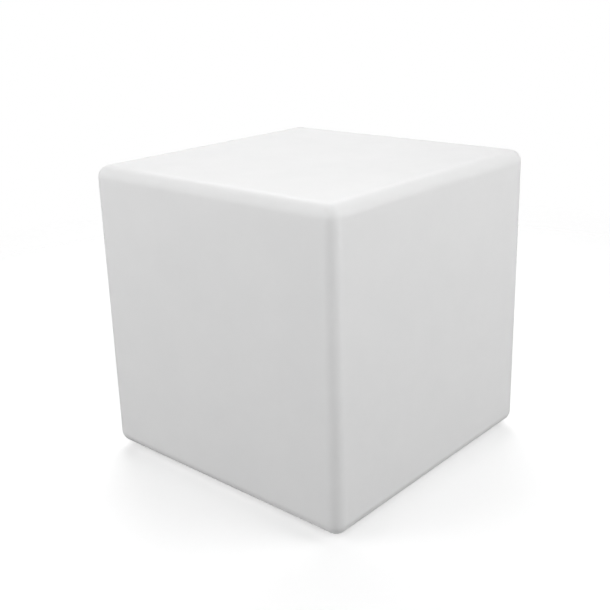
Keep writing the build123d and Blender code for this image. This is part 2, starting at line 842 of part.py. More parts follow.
clamp_screws = screws(
    [(0, -clamp_screw_row), (0, clamp_screw_row)], cell_level + clamp_thickness,
    m3_radius, m3_head_radius, m3_head_height, clamp_thickness + m3_grip, up=False,
)
keep(clamp_screws, "battery_clamp_screws")

# ================================================================ plugs and headers on the board
for use, place in (("battery", battery_header_place), ("lamp", lamp_header_place)):
    with BuildPart() as header:
        with BuildSketch(Plane.XY.offset(board_top)):
            with Locations(place):
                Rectangle(header_length, header_width)
        extrude(amount=header_height)
        with BuildSketch(Plane.XY.offset(board_top + header_wall)):
            with Locations(place):
                Rectangle(header_length - 2 * header_wall, header_width - 2 * header_wall)
        extrude(amount=header_height, mode=Mode.SUBTRACT)
    keep(header.part, f"{use}_header")

    with BuildPart() as plug:
        with BuildSketch(Plane.XY.offset(board_top + header_wall)):
            with Locations(place):
                Rectangle(
                    header_length - 2 * header_wall - fit_gap,
                    header_width - 2 * header_wall - fit_gap,
                )
        extrude(amount=plug_length)
    keep(plug.part, f"{use}_plug")

plug_top = board_top + header_wall + plug_length

# ================================================================ battery leads
# Each lead leaves a cell link, passes the end of the tray and drops into the battery plug. Both
# follow the front side of the cup, clear of the columns. The rows are points on the way, from the
# link's outer face to the plug's top.
battery_x, battery_y = battery_header_place
link_face = half_cells + link_thickness
lead_row = -(cell_row + link_overhang / 2)
red_route = [
    (link_face, lead_row, cell_level),
    (link_face + 3.4, lead_row, cell_level),
    (link_face + 5.2, lead_row - 3.3, cell_level - 1.0),
    (link_face + 3.8, lead_row - 6.3, cell_level - 1.8),
    (link_face - 1.8, lead_row - 8.9, cell_level - 2.6),
    (link_face - 8.8, lead_row - 11.1, cell_level - 3.2),
    (16.0, battery_y - 3.0, cell_level - 3.8),
    (6.5, battery_y - 5.4, cell_level - 3.4),
    (-2.5, battery_y - 5.0, cell_level - 2.0),
    (battery_x + 5.8, battery_y - 2.2, cell_level - 0.6),
    (battery_x + lead_pitch / 2, battery_y, plug_top + 4.6),
    (battery_x + lead_pitch / 2, battery_y, plug_top),
]
black_route = [
    (-link_face, lead_row, cell_level),
    (-link_face - 3.4, lead_row, cell_level),
    (-link_face - 5.2, lead_row - 3.3, cell_level - 0.4),
    (-link_face - 3.8, lead_row - 6.3, cell_level - 0.5),
    (-link_face + 1.8, lead_row - 8.9, cell_level - 0.3),
    (-link_face + 8.0, lead_row - 11.6, cell_level + 0.2),
    (battery_x - 5.4, battery_y - 1.0, cell_level - 0.4),
    (battery_x - lead_pitch / 2, battery_y, plug_top + 4.2),
    (battery_x - lead_pitch / 2, battery_y, plug_top),
]
for name, route in (("battery_lead_red", red_route), ("battery_lead_black", black_route)):
    radii = bend_radii(route)
    print(name, "bend radii", [round(radius, 1) for radius in radii])
    with BuildPart() as lead:
        with BuildLine() as path:
            FilletPolyline(*route, radius=radii)
        with BuildSketch(Plane(origin=path.line @ 0, z_dir=path.line % 0)):
            RegularPolygon(lead_radius, lead_sides)
        sweep(path=path.wire())
    lead_section = lead_sides / 2 * lead_radius**2 * sin(2 * pi / lead_sides)
    print(name, "volume", round(lead.part.volume, 2), "of",
          round(lead_section * path.wire().length, 2))
    keep(lead.part, name)

# ================================================================ lamp board
slot_place = (lamp_header_place[0], lamp_header_place[1] + slot_offset)
lamp_places = (
    ring_of_places(outer_lamp_ring, outer_lamp_count, 0)
    + ring_of_places(inner_lamp_ring, inner_lamp_count, 45)
)

with BuildPart() as lamp_board:
    with BuildSketch(Plane.XY.offset(lamp_board_bottom)):
        Circle(cup_bore - lamp_board_gap)
        with Locations(*lens_screw_places):
            Circle(column_radius + fit_gap, mode=Mode.SUBTRACT)
        with Locations(*lamp_screw_places):
            Circle(m3_radius + clear_gap, mode=Mode.SUBTRACT)
        with Locations(slot_place):
            RectangleRounded(slot_length, slot_width, slot_corner, mode=Mode.SUBTRACT)
    extrude(amount=lamp_board_thickness)
keep(lamp_board.part, "lamp_board")

lamp_board_screws = screws(
    lamp_screw_places, lamp_board_top, m3_radius, m3_head_radius, m3_head_height,
    lamp_board_thickness + m3_grip, up=False,
)
keep(lamp_board_screws, "lamp_board_screws")

with BuildPart() as lamps:
    with BuildSketch(Plane.XY.offset(lamp_board_top)):
        with Locations(*lamp_places):
            Rectangle(lamp_size, lamp_size)
    extrude(amount=lamp_height)
    with BuildSketch(Plane.XY.offset(lamp_board_top + lamp_height)):
        with Locations(*lamp_places):
            RegularPolygon(lamp_well_radius, lamp_well_sides)
    extrude(amount=-lamp_well_depth, mode=Mode.SUBTRACT)
keep(lamps.part, "lamps")

with BuildPart() as receiver:
    with BuildSketch(Plane.XY.offset(lamp_board_top)):
        with Locations(receiver_place):
            Rectangle(receiver_width, receiver_depth)
    extrude(amount=receiver_height)
    with Locations((*receiver_place, lamp_board_top + receiver_height)):
        Sphere(receiver_lens, arc_size1=0)
keep(receiver.part, "remote_receiver")

# Flat ribbon of leads from the lamp plug up through the board's slot to its solder pads.
lamp_x, lamp_y = lamp_header_place
slot_y = slot_place[1]
pad_y = lamp_y + ribbon_pad_offset
ribbon_route = [
    (lamp_x, lamp_y, plug_top),
    (lamp_x, lamp_y, plug_top + 5.0),
    (lamp_x, slot_y - 1.2, plug_top + 11.0),
    (lamp_x, slot_y, lamp_board_bottom - 3.0),
    (lamp_x, slot_y - 0.4, lamp_board_top + 0.8),
    (lamp_x, slot_y - 2.6, lamp_board_top + 3.2),
    (lamp_x, slot_y - 5.8, lamp_board_top + 2.4),
    (lamp_x, pad_y, lamp_board_top + ribbon_thickness / 2),
]
ribbon_radii = bend_radii(ribbon_route)
print("lamp_ribbon bend radii", [round(radius, 1) for radius in ribbon_radii])
with BuildPart() as ribbon:
    with BuildLine() as ribbon_path:
        FilletPolyline(*ribbon_route, radius=ribbon_radii)
    with BuildSketch(Plane(origin=ribbon_path.line @ 0, x_dir=(1, 0, 0), z_dir=ribbon_path.line % 0)):
        Rectangle(ribbon_width, ribbon_thickness)
    sweep(path=ribbon_path.wire())
keep(ribbon.part, "lamp_ribbon")

# ================================================================ lens
# A clear lens over the lamp board: a shallow drum with a sloped shoulder and a flange that is
# screwed down on the cup's rim, with a seal in its groove.
seal_outer = cup_radius - seal_inset
seal_inner = seal_outer - seal_width
lens_base = cup_rim + lens_flange
lens_top = lens_base + lens_height

with BuildPart() as lens:
    with BuildSketch(Plane.XY.offset(cup_rim)):
        Circle(cup_radius)
    extrude(amount=lens_flange)
    with BuildSketch(Plane.XY.offset(lens_base)):
        Circle(lens_radius)
    extrude(amount=lens_height)
    chamfer(lens.edges().group_by(Axis.Z)[-1], lens_corner)
    with BuildSketch(Plane.XY.offset(cup_rim)):
        Circle(lens_radius - lens_wall)
    extrude(amount=lens_flange + lens_height - lens_corner, mode=Mode.SUBTRACT)
    with BuildSketch(Plane.XY.offset(lens_top - lens_corner)):
        Circle(lens_radius - lens_corner - lens_wall)
    extrude(amount=lens_corner - lens_wall, mode=Mode.SUBTRACT)
    with BuildSketch(Plane.XY.offset(cup_rim)):
        Circle(seal_outer + thread_gap)
        Circle(seal_inner - thread_gap, mode=Mode.SUBTRACT)
    extrude(amount=seal_height + thread_gap, mode=Mode.SUBTRACT)
    with BuildSketch(Plane.XY.offset(cup_rim)):
        with Locations(*lens_screw_places):
            Circle(m3_radius + clear_gap)
    extrude(amount=lens_flange, mode=Mode.SUBTRACT)
keep(lens.part, "lens_cover")

with BuildPart() as lens_seal:
    with BuildSketch(Plane.XY.offset(cup_rim)):
        Circle(seal_outer)
        Circle(seal_inner, mode=Mode.SUBTRACT)
    extrude(amount=seal_height)
keep(lens_seal.part, "lens_seal")

lens_screws = screws(
    lens_screw_places, lens_base, m3_radius, m3_head_radius, m3_head_height,
    lens_flange + m3_grip, up=False,
)
keep(lens_screws, "lens_screws")
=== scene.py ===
import json
import logging
from collections.abc import Callable, Sequence
from dataclasses import dataclass, field
from enum import Enum
from math import cos, pi, radians, sin, tan

import bmesh
import bpy
from mathutils import Euler, Matrix, Vector


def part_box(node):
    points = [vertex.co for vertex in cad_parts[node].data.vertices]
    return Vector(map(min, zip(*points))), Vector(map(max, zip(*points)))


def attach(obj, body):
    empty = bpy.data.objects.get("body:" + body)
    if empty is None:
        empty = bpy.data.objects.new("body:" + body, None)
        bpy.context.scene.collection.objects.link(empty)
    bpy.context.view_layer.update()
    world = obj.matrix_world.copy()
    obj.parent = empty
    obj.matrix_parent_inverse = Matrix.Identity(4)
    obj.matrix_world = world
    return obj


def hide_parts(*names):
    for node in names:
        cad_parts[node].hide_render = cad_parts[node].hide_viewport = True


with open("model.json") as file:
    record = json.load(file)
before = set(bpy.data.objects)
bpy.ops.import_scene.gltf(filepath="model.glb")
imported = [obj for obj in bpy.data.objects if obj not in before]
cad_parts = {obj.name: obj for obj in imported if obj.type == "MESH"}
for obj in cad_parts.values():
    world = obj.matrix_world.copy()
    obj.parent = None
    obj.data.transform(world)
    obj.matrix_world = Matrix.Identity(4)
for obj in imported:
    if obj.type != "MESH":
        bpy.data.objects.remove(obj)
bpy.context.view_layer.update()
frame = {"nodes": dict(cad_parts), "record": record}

# A glowing garden cube, switched off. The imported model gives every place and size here; this script
# dresses its nodes and makes finer meshes of the pieces that show. Sizes are in metres.

log = logging.getLogger("cube_light")
MM = 0.001
FOOT_SCREW_HEAD = 5.5 * MM
BASE_SCREW_HEAD = 3.9 * MM
BASE_SCREW_RING = 56.0 * MM
BUTTON_REACH = 15.0 * MM
BUTTON_ROW = 10.0 * MM
SLEEVE_CAP = 2.2 * MM
SHARP_ANGLE = radians(38.0)
MERGE_DISTANCE = 1e-7
SAME_LEVEL = 1e-6
Colour = tuple[float, float, float]
Place = tuple[float, float]


# ------------------------------------------------------------------ mesh tools
@dataclass(frozen=True)
class Corner:
    """One corner of an outline that is turned about an upright axis.

    Args:
        out: Distance from the axis.
        level: Height.
        rounding: Radius of the corner, 0 where it stays crisp.
    """

    out: float
    level: float
    rounding: float = 0.0


def draw_outline(bm: bmesh.types.BMesh, corners: Sequence[Corner], closed: bool) -> list:
    """Draws an outline as edges in the XZ plane and rounds its corners.

    Args:
        bm: Mesh that takes the outline.
        corners: Corners in order.
        closed: Whether the last corner joins the first.

    Returns:
        The outline's vertices and edges.
    """
    points = [bm.verts.new((corner.out, 0.0, corner.level)) for corner in corners]
    ends = points[1:] + points[:1] if closed else points[1:]
    edges = [bm.edges.new(pair) for pair in zip(points, ends)]
    known = set(bm.verts) - set(points)
    for point, corner in zip(points, corners):
        if corner.rounding > 0.0:
            bmesh.ops.bevel(
                bm, geom=[point], offset=corner.rounding, offset_type="OFFSET", segments=5,
                profile=0.5, affect="VERTICES", material=-1, clamp_overlap=True,
            )
    drawn = [vert for vert in bm.verts if vert not in known]
    held = set(drawn)
    return drawn + [edge for edge in bm.edges if set(edge.verts) <= held]


def turn_outline(
    bm: bmesh.types.BMesh,
    corners: Sequence[Corner],
    place: Place = (0.0, 0.0),
    steps: int = 48,
    closed: bool = False,
) -> list[bmesh.types.BMVert]:
    """Turns an outline fully round the upright line through a place.

    Args:
        bm: Mesh that takes the turned shape.
        corners: Outline, outwards and upwards.
        place: Where the axis stands.
        steps: Number of flats round the turn.
        closed: Whether the outline is a closed loop, as for a ring.

    Returns:
        The vertices of the turned shape.
    """
    known = set(bm.verts)
    geometry = draw_outline(bm, corners, closed)
    bmesh.ops.spin(
        bm, geom=geometry, cent=(0, 0, 0), axis=(0, 0, 1), dvec=(0, 0, 0), angle=2 * pi,
        steps=steps, use_merge=True,
    )
    made = [vert for vert in bm.verts if vert not in known]
    bmesh.ops.remove_doubles(bm, verts=made, dist=MERGE_DISTANCE)
    made = [vert for vert in bm.verts if vert not in known]
    bmesh.ops.translate(bm, verts=made, vec=(place[0], place[1], 0.0))
    return made


def add_block(
    bm: bmesh.types.BMesh, low: Vector, high: Vector, rounding: float = 0.0, segments: int = 3
) -> list[bmesh.types.BMVert]:
    """Adds a block between two corners, with all its edges rounded.

    Args:
        bm: Mesh that takes the block.
        low: Lowest corner.
        high: Highest corner.
        rounding: Radius of the edges.
        segments: Flats across each rounding.

    Returns:
        The block's vertices.
    """
    known = set(bm.verts)
    block = bmesh.ops.create_cube(bm, size=1.0)["verts"]
    bmesh.ops.scale(bm, verts=block, vec=high - low)
    bmesh.ops.translate(bm, verts=block, vec=(low + high) / 2)
    if rounding > 0.0:
        edges = list({edge for vert in block for edge in vert.link_edges})
        bmesh.ops.bevel(
            bm, geom=edges, offset=rounding, offset_type="OFFSET", segments=segments,
            profile=0.5, affect="EDGES", material=-1, clamp_overlap=True,
        )
    return [vert for vert in bm.verts if vert not in known]


def finish_piece(
    bm: bmesh.types.BMesh, name: str, material: bpy.types.Material, turn_out: bool = True
) -> bpy.types.Object:
    """Makes a smooth-shaded object of a mesh, with crisp edges kept crisp.

    Args:
        bm: Finished mesh; it is freed.
        name: Name of the piece.
        material: Its finish.
        turn_out: Whether to point the faces outwards first.

    Returns:
        The new object, in the scene.
    """
    if turn_out:
        bmesh.ops.recalc_face_normals(bm, faces=bm.faces[:])
    for face in bm.faces:
        face.smooth = True
    mesh = bpy.data.meshes.new(name)
    bm.to_mesh(mesh)
    bm.free()
    mesh.set_sharp_from_angle(angle=SHARP_ANGLE)
    mesh.materials.append(material)
    piece = bpy.data.objects.new(name, mesh)
    bpy.context.scene.collection.objects.link(piece)
    return piece


def hold(piece: bpy.types.Object, body: str, slot: str, *nodes: str) -> None:
    """Fixes a piece to its body and lets it stand for CAD nodes.

    Args:
        piece: The finished piece.
        body: Body it moves with.
        slot: Material slot of the record; not used.
        *nodes: CAD nodes that it stands for.
    """
    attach(piece, body)
    if nodes:
        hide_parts(*nodes)
    log.info("%s rides on %s%s", piece.name, body, f" for {', '.join(nodes)}" if nodes else "")


# ------------------------------------------------------------------ shader tools
class NodeSheet:
    """The node tree of a material or of a node group, with short calls to fill it."""

    def __init__(self, tree: bpy.types.NodeTree) -> None:
        """Starts on a node tree."""
        self.tree = tree

    def add(self, kind: str, **settings: object) -> bpy.types.Node:
        """Adds a node.

        Args:
            kind: Node type without its ShaderNode prefix.
            **settings: Attributes of the node.

        Returns:
            The new node.
        """
        node = self.tree.nodes.new("ShaderNode" + kind)
        for name, value in settings.items():
            setattr(node, name, value)
        return node

    def feed(self, node: bpy.types.Node, **values: object) -> bpy.types.Node:
        """Sets or links a node's inputs.

        Args:
            node: Node whose inputs are filled.
            **values: Input names, with underscores for spaces, and sockets or plain values.

        Returns:
            The same node.
        """
        for name, value in values.items():
            socket = node.inputs[name.replace("_", " ")]
            if isinstance(value, bpy.types.NodeSocket):
                self.tree.links.new(value, socket)
            else:
                socket.default_value = value
        return node

    def noise(
        self, vector: object, scale: float, detail: float = 3.0, rough: float = 0.5
    ) -> object:
        """Adds a noise texture.

        Args:
            vector: Place that the noise reads.
            scale: Cells per metre.
            detail: Number of finer layers.
            rough: Strength of the finer layers.

        Returns:
            The socket with the noise, from 0 to 1.
        """
        node = self.add("TexNoise")
        self.feed(node, Vector=vector, Scale=scale, Detail=detail, Roughness=rough)
        return node.outputs[0]

    def spread(
        self, value: object, low: float, high: float, to_low: float, to_high: float
    ) -> object:
        """Maps a value from one range to another, clamped at both ends.

        Args:
            value: Socket with the value.
            low: Value that maps to the first result.
            high: Value that maps to the second result.
            to_low: First result.
            to_high: Second result.

        Returns:
            The socket with the mapped value.
        """
        node = self.add("MapRange", clamp=True)
        node.inputs[0].default_value = 0.0
        self.tree.links.new(value, node.inputs[0])
        for index, number in enumerate((low, high, to_low, to_high), start=1):
            if isinstance(number, bpy.types.NodeSocket):
                self.tree.links.new(number, node.inputs[index])
            else:
                node.inputs[index].default_value = number
        return node.outputs[0]

    def math(self, operation: str, first: object, second: object = 0.0) -> object:
        """Adds a math node.

        Args:
            operation: Name of the operation.
            first: First socket or number.
            second: Second socket or number.

        Returns:
            The socket with the result.
        """
        node = self.add("Math", operation=operation)
        for index, value in enumerate((first, second)):
            if isinstance(value, bpy.types.NodeSocket):
                self.tree.links.new(value, node.inputs[index])
            else:
                node.inputs[index].default_value = value
        return node.outputs[0]

    def blend(self, share: object, first: object, second: object) -> object:
        """Blends two colours.

        Args:
            share: Socket or number from 0, all first, to 1, all second.
            first: First colour or socket.
            second: Second colour or socket.

        Returns:
            The socket with the blended colour.
        """
        node = self.add("Mix", data_type="RGBA")
        for index, value in ((0, share), (6, first), (7, second)):
            if isinstance(value, bpy.types.NodeSocket):
                self.tree.links.new(value, node.inputs[index])
            else:
                node.inputs[index].default_value = (*value, 1.0) if index else value
        return node.outputs[2]

    def object_place(self) -> object:
        """Returns the place in the object's own frame, in metres."""
        return self.add("TexCoord").outputs["Object"]

    def facing_up(self) -> object:
        """Reads how far the surface faces up, in the object's own frame.

        Returns:
            The socket with the upward part of the surface's direction.
        """
        split = self.add("SeparateXYZ")
        self.tree.links.new(self.add("TexCoord").outputs["Normal"], split.inputs[0])
        return split.outputs["Z"]


class Effect:
    """Shader node groups that several finishes share, each built once."""

    _made: dict[str, bpy.types.NodeTree] = {}

    @classmethod
    def group(cls, name: str, inputs: dict, outputs: dict, fill: Callable) -> bpy.types.NodeTree:
        """Returns a node group, built on its first use.

        Args:
            name: Name of the group.
            inputs: Input names with their default numbers.
            outputs: Output names with their socket types.
            fill: Function that takes the sheet and the group's input sockets and returns the
                sockets for its outputs, in order.

        Returns:
            The group.
        """
        if name not in cls._made:
            tree = bpy.data.node_groups.new(name, "ShaderNodeTree")
            place = tree.interface.new_socket(
                "Place", in_out="INPUT", socket_type="NodeSocketVector"
            )
            place.hide_value = True
            for label, value in inputs.items():
                socket = tree.interface.new_socket(
                    label, in_out="INPUT", socket_type="NodeSocketFloat"
                )
                socket.default_value = value
            for label, kind in outputs.items():
                tree.interface.new_socket(label, in_out="OUTPUT", socket_type=kind)
            entry = tree.nodes.new("NodeGroupInput")
            result = tree.nodes.new("NodeGroupOutput")
            for index, socket in enumerate(fill(NodeSheet(tree), entry.outputs)):
                tree.links.new(socket, result.inputs[index])
            cls._made[name] = tree
        return cls._made[name]

    @classmethod
    def moulded_skin(cls) -> bpy.types.NodeTree:
        """Makes the skin of moulded plastic or rubber: orange peel with a fine grain.

        Returns:
            The node group.
        """

        def fill(sheet: NodeSheet, given: object) -> tuple:
            """Fills the group.

            Args:
                sheet: Sheet of the group's node tree.
                given: The group's input sockets.

            Returns:
                The sockets of the outputs, in order.
            """
            place = given["Place"]
            peel = sheet.noise(place, given["Peel Scale"], 2.0)
            grain = sheet.noise(place, given["Grain Scale"], 4.0, 0.62)
            height = sheet.math("ADD", sheet.math("MULTIPLY", peel, given["Peel Depth"]),
                                sheet.math("MULTIPLY", grain, given["Grain Depth"]))
            mottle = sheet.noise(place, given["Mottle Scale"], 5.0, 0.6)
            return height, sheet.spread(mottle, 0.3, 0.7, 0.0, 1.0)

        return cls.group(
            "moulded_skin",
            {"Peel Scale": 300.0, "Peel Depth": 0.5, "Grain Scale": 2500.0, "Grain Depth": 0.5,
             "Mottle Scale": 20.0},
            {"Height": "NodeSocketFloat", "Mottle": "NodeSocketFloat"},
            fill,
        )

    @classmethod
    def handling(cls) -> bpy.types.NodeTree:
        """Makes the marks of use: dust that settles on what faces up, and fine rubs.

        Returns:
            The node group.
        """

        def fill(sheet: NodeSheet, given: object) -> tuple:
            """Fills the group.

            Args:
                sheet: Sheet of the group's node tree.
                given: The group's input sockets.

            Returns:
                The sockets of the outputs, in order.
            """
            place = given["Place"]
            up = sheet.spread(sheet.facing_up(), 0.2, 1.0, 0.0, 1.0)
            flecks = sheet.noise(place, given["Speck Scale"], 6.0, 0.7)
            specks = sheet.spread(flecks, 0.45, 0.75, 0.0, 1.0)
            dust = sheet.math("MULTIPLY", sheet.math("MULTIPLY", up, specks), given["Dust"])
            stretched = sheet.add("Mapping")
            sheet.feed(stretched, Vector=place, Scale=(1.0, 7.0, 3.0), Rotation=(0.3, 0.5, 0.8))
            streaks = sheet.noise(stretched.outputs[0], given["Rub Scale"], 8.0, 0.75)
            rubs = sheet.math("MULTIPLY", sheet.spread(streaks, 0.6, 0.72, 0.0, 1.0), given["Rubs"])
            return dust, rubs

        return cls.group(
            "handling",
            {"Dust": 0.2, "Speck Scale": 400.0, "Rubs": 0.3, "Rub Scale": 60.0},
            {"Dust": "NodeSocketFloat", "Rubs": "NodeSocketFloat"},
            fill,
        )

    @classmethod
    def turned_lines(cls) -> bpy.types.NodeTree:
        """Makes the fine drawn lines of bare metal, along the object's upright axis.

        Returns:
            The node group.
        """

        def fill(sheet: NodeSheet, given: object) -> tuple:
            """Fills the group.

            Args:
                sheet: Sheet of the group's node tree.
                given: The group's input sockets.

            Returns:
                The sockets of the outputs, in order.
            """
            drawn = sheet.add("Mapping")
            sheet.feed(drawn, Vector=given["Place"], Scale=(1.0, 1.0, 14.0))
            lines = sheet.noise(drawn.outputs[0], given["Line Scale"], 5.0, 0.7)
            stain = sheet.noise(given["Place"], given["Stain Scale"], 4.0, 0.6)
            return lines, sheet.spread(stain, 0.35, 0.7, 0.0, 1.0)

        return cls.group(
            "turned_lines",
            {"Line Scale": 900.0, "Stain Scale": 150.0},
            {"Lines": "NodeSocketFloat", "Stain": "NodeSocketFloat"},
            fill,
        )


class Surface(NodeSheet):
    """A new material with its shader ready."""

    def __init__(self, name: str) -> None:
        """Makes the material, its shader and its output.

        Args:
            name: Name of the material.
        """
        self.material = bpy.data.materials.new(name)
        self.material.use_nodes = True
        super().__init__(self.material.node_tree)
        self.tree.nodes.clear()
        self.shader = self.add("BsdfPrincipled")
        output = self.add("OutputMaterial")
        self.tree.links.new(self.shader.outputs["BSDF"], output.inputs["Surface"])

    def effect(self, group: bpy.types.NodeTree, place: object, **values: float) -> object:
        """Places a shared effect.

        Args:
            group: The effect's node group.
            place: Socket with the place in the object's frame.
            **values: The effect's inputs, with underscores for spaces.

        Returns:
            The outputs of the placed group.
        """
        node = self.add("Group", node_tree=group)
        self.feed(node, Place=place, **values)
        return node.outputs

    def relief(self, height: object, depth: float, strength: float = 1.0) -> None:
        """Raises the surface by a height mask.

        Args:
            height: Socket with the mask, from 0 to 1.
            depth: Height in metres that the mask's 1 stands for.
            strength: Share of the effect.
        """
        bump = self.add("Bump")
        self.feed(bump, Strength=strength, Distance=depth, Height=height)
        self.tree.links.new(bump.outputs[0], self.shader.inputs["Normal"])


# ------------------------------------------------------------------ finishes
@dataclass(frozen=True)
class Polyethylene:
    """Rotomoulded translucent white polyethylene, satin, with a faint cloudiness.

    Args:
        name: Name of the material.
        light: Colour of the clearer patches.
        cloudy: Colour of the denser patches.
        dusty: Colour of dust on it.
        roughness: Middle roughness.
        swing: How far the roughness strays from the middle.
        polish: How much smoother the rubs are.
        ior: Index of refraction.
        gloss: Strength of the reflections, 0.5 for all that the index gives.
        haze: Share of the light that enters and comes out again.
        haze_depth: How deep that light goes, in metres.
        relief_depth: Depth of the skin's relief, in metres.
    """

    name: str = "shell_polyethylene"
    light: Colour = (0.800, 0.800, 0.800)
    cloudy: Colour = (0.780, 0.781, 0.782)
    dusty: Colour = (0.62, 0.60, 0.57)
    roughness: float = 0.50
    swing: float = 0.04
    polish: float = 0.10
    ior: float = 1.51
    gloss: float = 0.40
    haze: float = 0.6
    haze_depth: float = 0.009
    relief_depth: float = 0.00006

    def material(self) -> bpy.types.Material:
        """Builds the material.

        Returns:
            The finish as a material of its own.
        """
        s = Surface(self.name)
        place = s.object_place()
        skin = s.effect(
            Effect.moulded_skin(), place, Peel_Scale=260.0, Peel_Depth=0.7, Grain_Scale=1900.0,
            Grain_Depth=0.3, Mottle_Scale=14.0,
        )
        use = s.effect(Effect.handling(), place, Dust=0.02, Speck_Scale=500.0, Rubs=0.25,
                       Rub_Scale=45.0)
        colour = s.blend(skin["Mottle"], self.light, self.cloudy)
        colour = s.blend(use["Dust"], colour, self.dusty)
        rough = s.spread(skin["Mottle"], 0.0, 1.0, self.roughness - self.swing,
                         self.roughness + self.swing)
        rough = s.math("SUBTRACT", rough, s.math("MULTIPLY", use["Rubs"], self.polish))
        s.feed(s.shader, Base_Color=colour, Roughness=rough)
        s.feed(s.shader, IOR=self.ior, Specular_IOR_Level=self.gloss)
        s.feed(s.shader, Subsurface_Weight=self.haze, Subsurface_Radius=(1.0, 1.0, 1.0),
               Subsurface_Scale=self.haze_depth)
        s.relief(skin["Height"], self.relief_depth)
        return s.material


@dataclass(frozen=True)
class MouldedPlastic:
    """Injection-moulded plastic or soft rubber with a grained skin.

    Args:
        name: Name of the material.
        colour: Main colour.
        variation: Share by which patches darken.
        roughness: Middle roughness.
        grain: Depth of the grain in metres.
        dust: Dust on faces that look up.
        rubs: Strength of the fine rubs.
        sheen: Weight of a soft sheen, as on silicone.
        dusty: Colour of dust on it.
        swing: How far the roughness goes below and above the middle.
        polish: How much smoother the rubs are.
    """

    name: str
    colour: Colour
    variation: float = 0.08
    roughness: float = 0.5
    grain: float = 0.00004
    dust: float = 0.15
    rubs: float = 0.3
    sheen: float = 0.0
    dusty: Colour = (0.45, 0.43, 0.40)
    swing: tuple[float, float] = (0.05, 0.06)
    polish: float = 0.2

    def material(self) -> bpy.types.Material:
        """Builds the material.

        Returns:
            The finish as a material of its own.
        """
        s = Surface(self.name)
        place = s.object_place()
        skin = s.effect(
            Effect.moulded_skin(), place, Peel_Scale=700.0, Peel_Depth=0.4, Grain_Scale=5200.0,
            Grain_Depth=0.6, Mottle_Scale=90.0,
        )
        use = s.effect(Effect.handling(), place, Dust=self.dust, Speck_Scale=900.0,
                       Rubs=self.rubs, Rub_Scale=160.0)
        darker = tuple(channel * (1.0 - self.variation) for channel in self.colour)
        colour = s.blend(skin["Mottle"], self.colour, darker)
        colour = s.blend(use["Dust"], colour, self.dusty)
        rough = s.spread(skin["Mottle"], 0.0, 1.0, self.roughness - self.swing[0],
                         self.roughness + self.swing[1])
        rough = s.math("SUBTRACT", rough, s.math("MULTIPLY", use["Rubs"], self.polish))
        s.feed(s.shader, Base_Color=colour, Roughness=rough, Sheen_Weight=self.sheen)
        s.relief(skin["Height"], self.grain)
        return s.material


@dataclass(frozen=True)
class BareMetal:
    """Bare metal with fine lines, darker where it has stained.

    Args:
        name: Name of the material.
        colour: Clean colour.
        stained: Colour of the stained patches.
        roughness: Middle roughness.
        line_depth: Depth of the lines in metres.
        stain: Strength of the stain where it is densest.
        swing: How far the roughness goes below and above the middle.
    """

    name: str
    colour: Colour
    stained: Colour
    roughness: float = 0.32
    line_depth: float = 0.00001
    stain: float = 0.6
    swing: tuple[float, float] = (0.08, 0.1)

    def material(self) -> bpy.types.Material:
        """Builds the material.

        Returns:
            The finish as a material of its own.
        """
        s = Surface(self.name)
        place = s.object_place()
        marks = s.effect(Effect.turned_lines(), place, Line_Scale=1400.0, Stain_Scale=220.0)
        stain = s.math("MULTIPLY", marks["Stain"], self.stain)
        colour = s.blend(stain, self.colour, self.stained)
        rough = s.spread(marks["Lines"], 0.2, 0.8, self.roughness - self.swing[0],
                         self.roughness + self.swing[1])
        s.feed(s.shader, Base_Color=colour, Roughness=rough, Metallic=1.0)
        s.relief(marks["Lines"], self.line_depth)
        return s.material


@dataclass(frozen=True)
class CircuitLaminate:
    """Solder mask over copper tracks, which show as a slightly raised and paler net.

    Args:
        name: Name of the material.
        mask: Colour of the mask over bare laminate.
        over_track: Colour of the mask over copper.
        track_scale: Cells of the net per metre.
        track_edge: Where a track's edge starts and ends, in cells.
        track_height: Height of a track, in metres.
        roughness: Least and greatest roughness.
        coat: Weight of the clear coat.
    """

    name: str
    mask: Colour
    over_track: Colour
    track_scale: float = 160.0
    track_edge: tuple[float, float] = (0.05, 0.09)
    track_height: float = 0.00004
    roughness: tuple[float, float] = (0.30, 0.42)
    coat: float = 0.2

    def material(self) -> bpy.types.Material:
        """Builds the material.

        Returns:
            The finish as a material of its own.
        """
        s = Surface(self.name)
        place = s.object_place()
        net = s.add("TexVoronoi", feature="DISTANCE_TO_EDGE")
        s.feed(net, Vector=place, Scale=self.track_scale, Randomness=0.65)
        tracks = s.spread(net.outputs["Distance"], *self.track_edge, 1.0, 0.0)
        skin = s.effect(Effect.moulded_skin(), place, Peel_Scale=900.0, Grain_Scale=4000.0,
                        Mottle_Scale=60.0)
        mask = s.blend(skin["Mottle"], self.mask, tuple(0.85 * part for part in self.mask))
        rough = s.spread(skin["Mottle"], 0.0, 1.0, *self.roughness)
        s.feed(s.shader, Base_Color=s.blend(tracks, mask, self.over_track), Roughness=rough,
               Coat_Weight=self.coat)
        s.relief(tracks, self.track_height)
        return s.material


